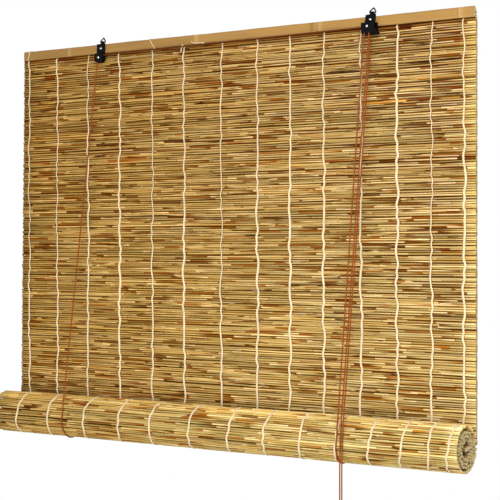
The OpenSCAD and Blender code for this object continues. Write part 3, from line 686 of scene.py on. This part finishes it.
def add_odd_stems(skin):
    """Near the right fitting, dark stems that stand for gaps between the stems, painted as shade, and amber
    stems; and short dark ones, most of them in the upper half, which are partly dark marks and partly
    painted shade of small gaps.
    """
    rng = random.Random(22)
    for start, end, under, radius, hue in ODD_STEMS:
        add_splinter(skin, rng, start, end, (-0.0026, RAIL_BOTTOM - under), radius, TO_FRONT, hue,
                     crevice_shade=0.2, loose=0.3, spacing=0.010)
    for _ in range(170):
        z = RAIL_BOTTOM - 0.012 - 0.69 * rng.random() ** 1.5
        length = rng.uniform(0.006, 0.034)
        start = rng.uniform(-HALF_W + EDGE_MARGIN, HALF_W - 0.030 - length)
        add_splinter(skin, rng, start, start + length, (-0.0025, z), rng.uniform(0.0009, 0.0014), TO_FRONT,
                     rng.uniform(1.0, 3.0) * GAP_SHADE_AND_DARK_HUE, crevice_shade=0.2, loose=0.3)


def panel_splinters():
    """Short thin stems that lie in the grooves of the mat's face."""
    rng = random.Random(21)
    skin = Skin()
    for row in range(ROW_COUNT - 4):
        for _ in range(rng.choice((5, 6, 7))):
            z = ROW_FIRST + (row + rng.uniform(0.1, 0.9)) * REED_PITCH
            length = rng.uniform(0.04, 0.26)
            start = rng.uniform(-HALF_W + EDGE_MARGIN, HALF_W - EDGE_MARGIN - length)
            middle = (rng.uniform(-0.0018, -0.0010), z)
            add_splinter(skin, rng, start, start + length, middle, rng.uniform(0.0008, 0.0015), TO_FRONT,
                         rng.uniform(0.7, 1.3) * height_shading(z), crevice_shade=0.7, loose=0.5)
    add_odd_stems(skin)
    return skin.make("reed_splinters", reed_skin)


def panel_filling():
    """The back of the mat: stems flat on their rear side, which close the grooves between the others. Their
    front side, which shows in the grooves, is painted dark as shade; their rear side keeps the reed's tone.

    Those at the rail are thin and round, so that they stay between the slats.
    """
    rng = random.Random(12)
    skin = Skin()
    for row in range(ROW_COUNT - 1):
        z = ROW_FIRST + (row + 0.5) * REED_PITCH
        at_rail = z > RAIL_BOTTOM - 0.003
        y, radius, rear_depth = (0.0010, 0.0020, 1.0) if at_rail else (0.0034, 0.0043, 0.42)
        add_row(skin, rng, mat_left(z), (y, z), TO_FRONT, radius, spacing=0.050, shades=(0.14, 0.40),
                crevice_shade=0.2, hue=BACK_SHADE, loose=0.1, sizes=(0.97, 1.02),
                rear=rng.uniform(0.85, 1.15), rear_depth=rear_depth)
    return skin.make("thin_reeds", reed_skin)


def turn_radius(a):
    """Radius of the roll at an angle: even round the outside, then smaller with each turn."""
    if a <= OUTER_HOLD:
        return ROLL_R
    if a < 360:
        return ROLL_R - TURN_PITCH * float(eased((a - OUTER_HOLD) / (360 - OUTER_HOLD)))
    return ROLL_R - TURN_PITCH * a / 360


def on_roll(a, r):
    """A point (y, z) round the axis of the roll: 0 is the back, 90 the bottom, 180 the front."""
    turn = math.radians(a)
    return (AXIS_Y + r * math.cos(turn), AXIS_Z - r * math.sin(turn))


def roll_angles():
    """Angles of the reeds along the spiral of the roll, from the mat inwards."""
    angles = [math.degrees(REED_PITCH / 2 / ROLL_R)]
    while True:
        pitch = STEM_PITCH if angles[-1] < FINE_TURN else REED_PITCH
        a = angles[-1] + math.degrees(pitch / turn_radius(angles[-1]))
        if turn_radius(a) < CORE_R:
            return angles
        angles.append(a)


def add_roll_splinters(skin, rng, a, facing):
    """Short thin stems that lie in the groove after the reed at this angle of the roll."""
    for _ in range(rng.choice((5, 6, 7))):
        length = rng.uniform(0.04, 0.24)
        start = rng.uniform(-HALF_W + EDGE_MARGIN, HALF_W - EDGE_MARGIN - length)
        middle = on_roll(a + rng.uniform(0.2, 0.8) * math.degrees(REED_PITCH / ROLL_R),
                         ROLL_R + rng.uniform(0.0009, 0.0015))
        add_splinter(skin, rng, start, start + length, middle, rng.uniform(0.0007, 0.0013), facing,
                     rng.uniform(0.8, 1.5) * ROLL_HUE, crevice_shade=0.6, loose=0.5)


def rolled_reeds():
    """The stems of the roll: rows of fine ones on its outer turn, long plain ones in the inner turns."""
    rng = random.Random(13)
    skin = Skin()
    left = -HALF_W - LEFT_FLARE
    for a in roll_angles():
        facing = -math.radians(a)
        if a < FINE_TURN:
            middle = on_roll(a, turn_radius(a) + STEM_OUT)
            # Painted light: the stems on the top of the outer turn are painted paler, as lit from above
            top = float(eased((a - 195) / 70) * (1 - eased((a - 300) / 20)))
            add_row(skin, rng, left - OUTER_STICK_OUT, middle, facing, STEM_R, spacing=0.030,
                    shades=(1.12 + 1.14 * top, 1.38 + 1.18 * top), crevice_shade=0.80,
                    hue=ROLL_HUE + (ROLL_TOP_LIGHT - ROLL_HUE) * top, loose=0.7, sizes=(0.84, 1.10))
            if a < 300:
                add_roll_splinters(skin, rng, a, facing)
        else:
            # The stems of the inner turns are painted darker, as the shade inside the roll
            start = left + rng.uniform(-0.002, 0.001)
            end = HALF_W + rng.uniform(-0.002, 0.001)
            add_stem(skin, rng, start, end, on_roll(a, turn_radius(a)), CORE_STEM_R, facing, sides=8,
                     spacing=0.25, shade=rng.uniform(0.6, 0.95), crevice_shade=0.3, cut=(True, True), loose=0.4)
    return skin.make("reed_roll_stems", reed_skin)


# Threads

def wander(rng, along, slow, middle, quick):
    """The wavy course of a stitched line: a slow drift, a sway and small kicks, with these reaches."""
    drift = np.sin(along / rng.uniform(0.25, 0.45) * TAU + rng.uniform(0, TAU))
    sway = np.sin(along / rng.uniform(0.060, 0.110) * TAU + rng.uniform(0, TAU))
    kick_length = rng.uniform(0.028, 0.044)
    swing = 2 * np.sin(along / 0.11 * TAU + rng.uniform(0, TAU))
    kick = np.sin(along / kick_length * TAU + swing)
    return slow * drift + middle * sway + quick * kick


THREAD_STEP = 0.0016
BACK_THREAD_STEP = 0.0024
THREAD_LAY = 0.0105
THREAD_GROOVE = 0.26


def panel_thread_skin(side, seed):
    """The stitched lines on the face of the mat (side -1) or on its back (side 1)."""
    rng = random.Random(seed)
    skin = Skin()
    top = RAIL_BOTTOM + 0.0015
    count = int((top - ROW_FIRST) / (THREAD_STEP if side < 0 else BACK_THREAD_STEP))
    zs = np.linspace(ROW_FIRST, top, count)
    dip = 0.00028 * np.cos((zs - ROW_FIRST) / REED_PITCH * TAU)
    press = eased((zs - RAIL_BOTTOM + 0.004) / 0.004)
    rest = 0.00400 if side < 0 else 0.00530
    for share in THREAD_SHARES:
        xs = share * HALF_W + wander(rng, zs, 0.0010, 0.0013, 0.0010)
        ys = side * (rest + dip - (rest - 0.0028) * press)
        sizes = np.array([rng.uniform(0.93, 1.07) for _ in range(count)]) * (1 - 0.50 * press)
        tone = THREAD_TONE * rng.uniform(0.98, 1.04)
        add_rope(skin, np.stack([xs, ys, zs], axis=1), 0.0045, 2, THREAD_LAY, 8, tone, (1, 0, 0),
                 flatten=0.46, sizes=sizes, depth=THREAD_GROOVE, seed=rng.random())
    return skin.make("stitches_front" if side < 0 else "stitches_back", thread_skin)


ROLL_THREAD_FROM = 6.0
ROLL_THREAD_TO = 274.0
ROLL_THREAD_STEP = math.degrees(THREAD_STEP / 0.0405)
ROLL_THREAD_R = 0.04052


def roll_thread_skin():
    """The stitched lines on the roll, further to the left under it than in front."""
    rng = random.Random(16)
    skin = Skin()
    turn = np.arange(ROLL_THREAD_FROM, ROLL_THREAD_TO, ROLL_THREAD_STEP)
    angle = np.radians(turn)
    drift = np.interp(turn, (6, 90, 180, 270), (-0.016, -0.014, 0.0, 0.002))
    r = ROLL_THREAD_R + 0.00016 * np.cos(angle * ROLL_R / REED_PITCH * TAU)
    ys = AXIS_Y + r * np.cos(angle)
    zs = AXIS_Z - r * np.sin(angle)
    for share in ROLL_THREAD_SHARES:
        xs = share * HALF_W + drift + wander(rng, angle * ROLL_R, 0.0008, 0.0012, 0.0010)
        sizes = np.array([rng.uniform(0.94, 1.06) for _ in turn])
        tone = THREAD_TONE * rng.uniform(0.96, 1.04)
        add_rope(skin, np.stack([xs, ys, zs], axis=1), 0.0038, 2, THREAD_LAY, 8, tone, (1, 0, 0),
                 flatten=0.36, sizes=sizes, depth=THREAD_GROOVE, seed=rng.random())
    return skin.make("stitches_roll", thread_skin)


def lashing_skin():
    """Two threads over the rail, from its face to its back, and two loose ends in front."""
    skin = Skin()
    front = -RAIL_FACE - 0.0006
    back = RAIL_FACE + 0.0006
    over = RAIL_TOP + 0.0006
    half_way = RAIL_BOTTOM + RAIL_H / 2
    for x, lean in ((-0.485, 0.006), (-0.163, -0.010)):
        route = (
            (x, front + 0.0008, RAIL_BOTTOM - 0.0008), (x, front, RAIL_BOTTOM + 0.002),
            (x + lean * 0.5, front - 0.0002, half_way), (x + lean * 0.9, front, RAIL_TOP - 0.002),
            (x + lean, front + 0.0012, over - 0.0002), (x + lean, 0.0, over),
            (x + lean, back - 0.0012, over - 0.0002), (x + lean * 0.9, back, RAIL_TOP - 0.002),
            (x + lean * 0.5, back + 0.0002, half_way), (x, back, RAIL_BOTTOM + 0.002),
            (x, back - 0.0008, RAIL_BOTTOM - 0.0008),
        )
        add_rope(skin, smooth_path(route, 0.0008), 0.0017, 2, 0.006, 8, THREAD_TONE * 0.95, (1, 0, 0))
    loose_end = (
        (-0.0740, front - 0.0002, -0.0226), (-0.0726, front - 0.0006, -0.0242),
        (-0.0690, front - 0.0004, -0.0254), (-0.0600, front - 0.0002, -0.0262),
        (-0.0520, front - 0.0004, -0.0268), (-0.0450, front - 0.0002, -0.0272),
    )
    add_rope(skin, smooth_path(loose_end, 0.0008), 0.0036, 2, 0.007, 8, THREAD_TONE, (0, 1, 0), 0.6)
    stub = (
        (-0.0945, front - 0.0004, -0.0262), (-0.0960, front - 0.0008, -0.0300),
        (-0.0990, front + 0.0010, -0.0345), (-0.1016, front + 0.0026, -0.0390),
    )
    add_rope(skin, smooth_path(stub, 0.0008), 0.0030, 2, 0.007, 8, THREAD_TONE, (1, 0, 0), 0.6)
    return skin.make("thread_ends", thread_skin)


# Rail

def strip_skin(name, start, end, thickness, height, middle, turn, face_side, joints, seed):
    """A split bamboo strip: crowned face, rounded edges, and a groove and ridge at each joint."""
    rng = random.Random(seed)
    skin = Skin()
    half_t = thickness / 2
    half_h = height / 2
    # The third number of each corner of the section is a factor of painted shade: the edges and the back are
    # painted darker than the face, the lower edges the darkest
    section = []
    for step in range(7):
        share = -1 + step / 3
        section.append((face_side * (half_t - 0.0004 * share ** 2), share * (half_h - 0.0008), 1.0))
    section.append((face_side * (half_t - 0.0011), half_h - 0.0001, 0.9))
    section.append((-face_side * (half_t - 0.0009), half_h, 0.85))
    for step in range(3):
        section.append((-face_side * half_t, (1 - step) * (half_h - 0.0008), 0.9))
    section.append((-face_side * (half_t - 0.0009), -half_h, 0.8))
    section.append((face_side * (half_t - 0.0011), -half_h + 0.0001, 0.8))
    if face_side < 0:
        section = section[::-1]
    sides = len(section)
    places = list(np.linspace(start, end, 84))
    for joint in joints:
        for step in (-0.012, -0.004, -0.0022, -0.0012, -0.0004, 0.0004, 0.0012, 0.0024, 0.005, 0.014):
            places.append(joint * HALF_W + step)
    places = np.array(sorted(places))
    (slow, slow_at), (quick, quick_at) = [(rng.uniform(6, 30), rng.uniform(0, TAU)) for _ in range(2)]
    rise = np.zeros(len(places))
    tone = np.tile(BAMBOO_TONE * 0.96, (len(places), 1))
    for number, joint in enumerate(joints):
        away = places - joint * HALF_W
        rise += 0.00038 * bell(away - 0.0010, 0.0012) - 0.00022 * bell(away + 0.0008, 0.0006)
        pale = bell(away - 0.004, 0.004)[:, None]
        tone = tone + (BAMBOO_PALE - tone) * pale * 0.7
        dark = bell(away + 0.0006, 0.0006)[:, None]
        tone = tone + (BAMBOO_DARK - tone) * dark * 0.5
        # Painted light: the strip is painted darker left of its second joint and paler right of it, as the
        # light grows towards the right side of the blind; the other joints change the tone a little
        tone = tone * (1 + (0.06 if number == 1 else 0.01) * np.tanh(away / 0.002))[:, None]
    edge = 0.00022 * (np.sin(places * slow + slow_at) + 0.5 * np.sin(places * quick * 3 + quick_at))
    points = np.empty((len(places), sides, 3))
    tints = np.empty((len(places), sides, 3))
    cos_turn = math.cos(turn)
    sin_turn = math.sin(turn)
    for k, (y, z, shade) in enumerate(section):
        grown = y + face_side * rise if y * face_side > 0 else y
        tall = z + edge * (1 if z > 0 else -1) * min(1.0, abs(z) / half_h)
        points[:, k, 0] = places
        points[:, k, 1] = middle[0] + grown * cos_turn - tall * sin_turn
        points[:, k, 2] = middle[1] + grown * sin_turn + tall * cos_turn
        tints[:, k] = tone * shade
    first = skin.add(points, tints, rng.random())
    skin.tube_faces(first, len(places), sides)
    for side, ring in ((-1, 0), (1, len(places) - 1)):
        cap = skin.add(points[ring], np.tile(CUT_TONE * 0.8, (sides, 1)), 0.5)
        plain_end(skin, cap, sides, side)
    return skin.make(name, bamboo_skin)


# Cords

def sling_contact(y, z, side):
    """Angle round the roll at which a straight cord from (y, z) meets the sling."""
    dy = y - AXIS_Y
    dz = z - AXIS_Z
    spread = math.degrees(math.acos(SLING_R / math.hypot(dy, dz)))
    return -(math.degrees(math.atan2(dz, dy)) + side * spread)


ROPE_STEP = 0.0014
ROPE_LAY = 0.0085
# Length over the roll at which a lift cord joins the sling
LIFT_JOIN = 0.013
# How far a pull cord's end knot lies in front of its coil and under the coil's middle
KNOT_OUT = 0.003
KNOT_DROP = 0.01095


def cord_piece(name, points, hint=(1, 0, 0), tone=CORD_TONE):
    path = smooth_path(points, ROPE_STEP)
    skin = Skin()
    add_rope(skin, path, CORD_VIEW_D, 3, ROPE_LAY, 12, tone, hint)
    return skin.make(name, cord_skin)


def spaced(a, b, count):
    return [tuple(Vector(a).lerp(Vector(b), i / (count - 1))) for i in range(count)]


def squash_to_roll(piece):
    """Attaches the piece to the headrail and gives it its own copy of its mesh."""
    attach(piece, "headrail")
    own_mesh(piece)


def lift_ends(wheel, sling_x):
    """Where a lift cord leaves its wheel, and where it joins the stretch that goes up with the roll."""
    top = Vector((wheel.x - WRAP_R, wheel.y, wheel.z))
    contact = Vector((sling_x, *on_roll(sling_contact(wheel.y, wheel.z, 1), SLING_R)))
    return top, contact + (top - contact).normalized() * LIFT_JOIN


def lift_cord(name, node, wheel, sling_x):
    top, join = lift_ends(wheel, sling_x)
    piece = cord_piece(name, spaced(top, join, 6))
    squash_to_roll(piece)
    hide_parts(node)


def sling_cord(name, node, wheel, sling_x):
    back = sling_contact(BACK_CORD_Y, RAIL_BOTTOM, -1)
    front = sling_contact(wheel.y, wheel.z, 1) + 360
    points = []
    for i in range(33):
        t = i / 32
        hug = float(eased(4 * t) * eased(4 * (1 - t))) * SLING_HUG
        y, z = on_roll(back + (front - back) * t, SLING_R - hug)
        points.append((sling_x - SLING_SHIFT * (1 - t), y, z))
    points.append(tuple(lift_ends(wheel, sling_x)[1]))
    piece = cord_piece(name, points)
    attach(piece, "sling")
    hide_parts(node)


def back_cord(name, node, sling_x):
    x = sling_x - SLING_SHIFT
    y, z = on_roll(sling_contact(BACK_CORD_Y, RAIL_BOTTOM, -1), SLING_R)
    points = spaced((x, y, z), (x, BACK_CORD_Y, RAIL_BOTTOM), 6) + [(x, BACK_CORD_Y, ANCHOR_TOP_Z)]
    piece = cord_piece(name, points)
    squash_to_roll(piece)
    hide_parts(node)


def arc_points(wheel, start, end, count):
    """Points of a cord that lies on a wheel, from one angle to another."""
    points = []
    for i in range(count + 1):
        angle = math.radians(start + (end - start) * i / count)
        points.append((wheel.x + WRAP_R * math.cos(angle), wheel.y, wheel.z + WRAP_R * math.sin(angle)))
    return points


def cross_cord():
    slope = math.degrees(math.atan2(REAR_WHEEL.z - LEFT_WHEEL.z, REAR_WHEEL.x - LEFT_WHEEL.x))
    left = arc_points(LEFT_WHEEL, 180, 90 + slope, 8)
    right = arc_points(REAR_WHEEL, 90 + slope, 0, 8)
    points = left + spaced(left[-1], right[0], 8)[1:-1] + right
    # The cord under the rail is painted darker, as the rail's shadow
    piece = cord_piece("rail_cord", points, (0, 1, 0), CORD_TONE * 0.40)
    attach(piece, "headrail")
    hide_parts("cross_cord")


def lock_cord():
    piece = cord_piece("lock_cord_turn", arc_points(FRONT_WHEEL, 180, 0, 12), (0, 1, 0))
    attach(piece, "headrail")
    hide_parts("lock_cord")


def knot_piece(name, middle, reach):
    """An overhand knot pulled tight."""
    points = []
    for i in range(29):
        t = TAU * i / 28 * 0.985
        points.append((
            middle[0] + reach * (math.sin(t) + 2 * math.sin(2 * t)) / 3.2,
            middle[1] - reach * 0.8 * math.sin(3 * t),
            middle[2] + reach * (math.cos(t) - 2 * math.cos(2 * t)) / 3.2,
        ))
    skin = Skin()
    add_rope(skin, smooth_path(points, 0.0007), 0.0021, 3, 0.006, 10, CORD_TONE, (0.3, 1, 0.2))
    return skin.make(name, cord_skin)


def coil_route(centre_x, side):
    """The put away turns: columns side by side, then the next layer inside."""
    points = []
    turns = COIL_COLUMNS * COIL_LAYERS
    per_turn = 18
    for i in range(1, turns * per_turn + 1):
        u = i / per_turn
        layer = min(int(u / COIL_COLUMNS), COIL_LAYERS - 1)
        within = u - layer * COIL_COLUMNS
        column = min(within, COIL_COLUMNS - 1)
        if layer % 2:
            column = COIL_COLUMNS - 1 - column
        inward = layer + float(eased(within - COIL_COLUMNS + 1)) * (1 if layer < COIL_LAYERS - 1 else 0)
        start = 1 - float(eased(u))
        offset = (column - (COIL_COLUMNS - 1) / 2) * COIL_STEP * (1 - start)
        r = COIL_R - inward * COIL_STEP
        angle = -TAU * u if side > 0 else math.pi + TAU * u
        points.append((centre_x + r * math.cos(angle), COIL_Y + offset, COIL_Z + r * math.sin(angle)))
    return points


def pull_cord(name, route, centre_x, side, nodes):
    """A pull cord from the lock down its route, round its coil and into its end knot."""
    bend = [(route[-1][0], route[-1][1], COIL_Z + 0.002)]
    knot = (centre_x, COIL_Y - COIL_HALF_T - KNOT_OUT, COIL_Z - KNOT_DROP)
    coil = coil_route(centre_x, side)
    last = coil[-1]
    out = [
        (last[0] * 0.5 + centre_x * 0.5, last[1] - 0.002, COIL_Z - 0.004),
        (centre_x, -0.0868, COIL_Z - 0.0075),
        knot,
    ]
    path = smooth_path(list(route) + bend + coil + out, 0.0016)
    skin = Skin()
    add_rope(skin, path, CORD_VIEW_D, 3, ROPE_LAY, 8, CORD_TONE, (1, 0.2, 0))
    piece = skin.make(name, cord_skin)
    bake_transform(piece)
    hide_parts(*nodes)
    end_knot = knot_piece(name + "_knot", knot, 0.0026)
    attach(end_knot, "sling")
    return end_knot


def coil_tie():
    """Three turns of thread round the two coils, where they lie side by side."""
    skin = Skin()
    left, right = 0.2743, 0.3027
    front, back = COIL_Y - TIE_REACH, COIL_Y + TIE_REACH
    per_turn = 16
    count = 3 * per_turn
    points = []
    for i in range(count + 1):
        angle = TAU * i / per_turn
        x = (left + right) / 2 + (right - left) / 2 * max(-1, min(1, 1.25 * math.cos(angle)))
        y = (front + back) / 2 + (back - front) / 2 * max(-1, min(1, 1.25 * math.sin(angle)))
        points.append((x, y, COIL_Z - 0.002 + 0.004 * i / count))
    add_rope(skin, smooth_path(points, 0.001), 0.0014, 2, 0.006, 8, THREAD_TONE, (0, 0, 1))
    piece = skin.make("coil_thread", thread_skin)
    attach(piece, "sling")
    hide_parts("coil_tie")


# Pieces

front_knot = pull_cord("pull_cord_one", PULL_FRONT_ROUTE, FRONT_COIL_X, 1,
                       ("pull_cord_front", "pull_coil_front"))
pull_cord("pull_cord_two", PULL_REAR_ROUTE, REAR_COIL_X, -1, ("pull_cord_rear", "pull_coil_rear"))
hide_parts("pull_knots")
coil_tie()
lift_cord("left_lift", "left_lift_cord", LEFT_WHEEL, LEFT_SLING_X)
lift_cord("right_lift", "right_lift_cord", FRONT_WHEEL, RIGHT_SLING_X)
sling_cord("left_sling", "left_sling_cord", LEFT_WHEEL, LEFT_SLING_X)
sling_cord("right_sling", "right_sling_cord", FRONT_WHEEL, RIGHT_SLING_X)
back_cord("left_back", "left_back_cord", LEFT_SLING_X)
back_cord("right_back", "right_back_cord", RIGHT_SLING_X)
cross_cord()
lock_cord()
left_anchor = knot_piece("left_anchor", (LEFT_SLING_X - SLING_SHIFT, *ANCHOR_KNOT_YZ), 0.0027)
right_anchor = knot_piece("right_anchor", (RIGHT_SLING_X - SLING_SHIFT, *ANCHOR_KNOT_YZ), 0.0027)
for anchor in (left_anchor, right_anchor):
    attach(anchor, "headrail")
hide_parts("anchor_knots")

mat = panel_reeds()
splinters = panel_splinters()
filling = panel_filling()
front_stitches = panel_thread_skin(-1, 14)
back_stitches = panel_thread_skin(1, 15)
for piece in (mat, splinters, filling, front_stitches, back_stitches):
    squash_to_roll(piece)
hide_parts("reed_panel")
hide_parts("panel_threads")

roll = rolled_reeds()
roll_stitches = roll_thread_skin()
for piece in (roll, roll_stitches):
    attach(piece, "roll")
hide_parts("reed_roll")
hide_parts("roll_threads")

rail_middle = RAIL_TOP - RAIL_H / 2
rail_left = -HALF_W + RAIL_TRIM
rail_right = HALF_W
rail_depth = SLAT_FACE + SLAT_T / 2
front_strip = strip_skin("rail_front", rail_left, rail_right, SLAT_T, RAIL_H, (-rail_depth, rail_middle),
                         0.0, -1, FRONT_JOINTS, 17)
rear_strip = strip_skin("rail_back", rail_left, rail_right - RAIL_TRIM, SLAT_T, RAIL_H,
                        (rail_depth, rail_middle), 0.0, 1, REAR_JOINTS, 18)
last_angle = roll_angles()[-1]
batten_out = turn_radius(last_angle) - BATTEN_GAP - BATTEN_W / 2
batten_turn = math.atan2(-math.cos(math.radians(last_angle)), -math.sin(math.radians(last_angle)))
batten = strip_skin("roll_batten", -HALF_W, HALF_W, BATTEN_T, BATTEN_W,
                    on_roll(last_angle, batten_out), batten_turn, -1, BATTEN_JOINTS, 19)
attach(batten, "roll")
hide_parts("bottom_batten")
ends = lashing_skin()
for piece in (front_strip, rear_strip, ends):
    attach(piece, "headrail")
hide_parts("front_slat")
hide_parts("rear_slat")
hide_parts("rail_lashings")

IRON_NODES = (
    "left_hang_ring", "left_hang_tab", "pulley_case", "right_hang_ring", "right_hang_tab", "lock_case",
    "lock_pawl", "lock_axle", "pawl_pin",
)
STEEL_NODES = (
    "left_fixing_rivet", "right_fixing_rivet", "pulley_axle", "lock_case_rivet", "pulley_wheel",
    "lock_rear_wheel", "lock_front_wheel", "anchor_staples",
)


def dress(names, material):
    """Gives solids of the frame a material and slightly rounded edges."""
    for name in names:
        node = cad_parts[name]
        node.data.materials.clear()
        node.data.materials.append(material)
        bevel = node.modifiers.new("edges", "BEVEL")
        bevel.width = 0.00025
        bevel.segments = 2
        bevel.limit_method = "ANGLE"
        bevel.angle_limit = math.radians(40)


dress(IRON_NODES, iron_skin)
dress(STEEL_NODES, steel_skin)

# Studio

CAMERA_YAW = 33.378
camera_data = bpy.data.cameras.new("camera")
camera_data.lens = 100.8
camera_data.sensor_width = 36
camera_data.sensor_fit = "HORIZONTAL"
camera_data.clip_start = 0.05
camera = bpy.data.objects.new("camera", camera_data)
camera.location = (1.4621, -2.1415, -0.4135)
camera.rotation_euler = (math.radians(90), 0, math.radians(CAMERA_YAW))
bpy.context.scene.collection.objects.link(camera)
bpy.context.scene.camera = camera


def area_light(name, place, target, size, power):
    data = bpy.data.lights.new(name, "AREA")
    data.shape = "SQUARE"
    data.size = size
    data.energy = power
    lamp = bpy.data.objects.new(name, data)
    lamp.location = place
    lamp.rotation_euler = (Vector(target) - Vector(place)).to_track_quat("-Z", "Y").to_euler()
    bpy.context.scene.collection.objects.link(lamp)


area_light("key", (1.25, -1.75, 0.45), (0.1, 0.0, -0.45), 1.1, 40)
area_light("fill", (0.4, -2.2, -1.2), (0.0, 0.0, -0.65), 1.6, 40)

world = bpy.data.worlds.new("studio")
bpy.context.scene.world = world
world.use_nodes = True
world_tree = world.node_tree
backdrop = world_tree.nodes["Background"]
rays = world_tree.nodes.new("ShaderNodeLightPath")
# The backdrop shows white, also in reflections, but lights the part less
seen = rays.outputs["Is Camera Ray"]
for kind in ("Is Glossy Ray", "Is Transmission Ray"):
    either = world_tree.nodes.new("ShaderNodeMath")
    either.operation = "ADD"
    either.use_clamp = True
    world_tree.links.new(seen, either.inputs[0])
    world_tree.links.new(rays.outputs[kind], either.inputs[1])
    seen = either.outputs[0]
level = world_tree.nodes.new("ShaderNodeMapRange")
level.inputs["To Min"].default_value = 0.31
level.inputs["To Max"].default_value = 1.0
world_tree.links.new(seen, level.inputs["Value"])
world_tree.links.new(level.outputs["Result"], backdrop.inputs["Strength"])
backdrop.inputs["Color"].default_value = (1, 1, 1, 1)

FLOOR_Z = -1.6
floor_mesh = bpy.data.meshes.new("floor")
floor_corners = [(-3, -3, FLOOR_Z), (3, -3, FLOOR_Z), (3, 2.2, FLOOR_Z), (-3, 2.2, FLOOR_Z)]
floor_mesh.from_pydata(floor_corners, [], [(0, 1, 2, 3)])
floor = bpy.data.objects.new("floor", floor_mesh)
bpy.context.scene.collection.objects.link(floor)
floor_skin, _, floor_shader = start_material("pale_floor")
floor_shader.inputs["Base Color"].default_value = (0.86, 0.86, 0.85, 1)
floor_shader.inputs["Roughness"].default_value = 0.9
floor_mesh.materials.append(floor_skin)

bpy.context.scene.view_settings.view_transform = "Standard"
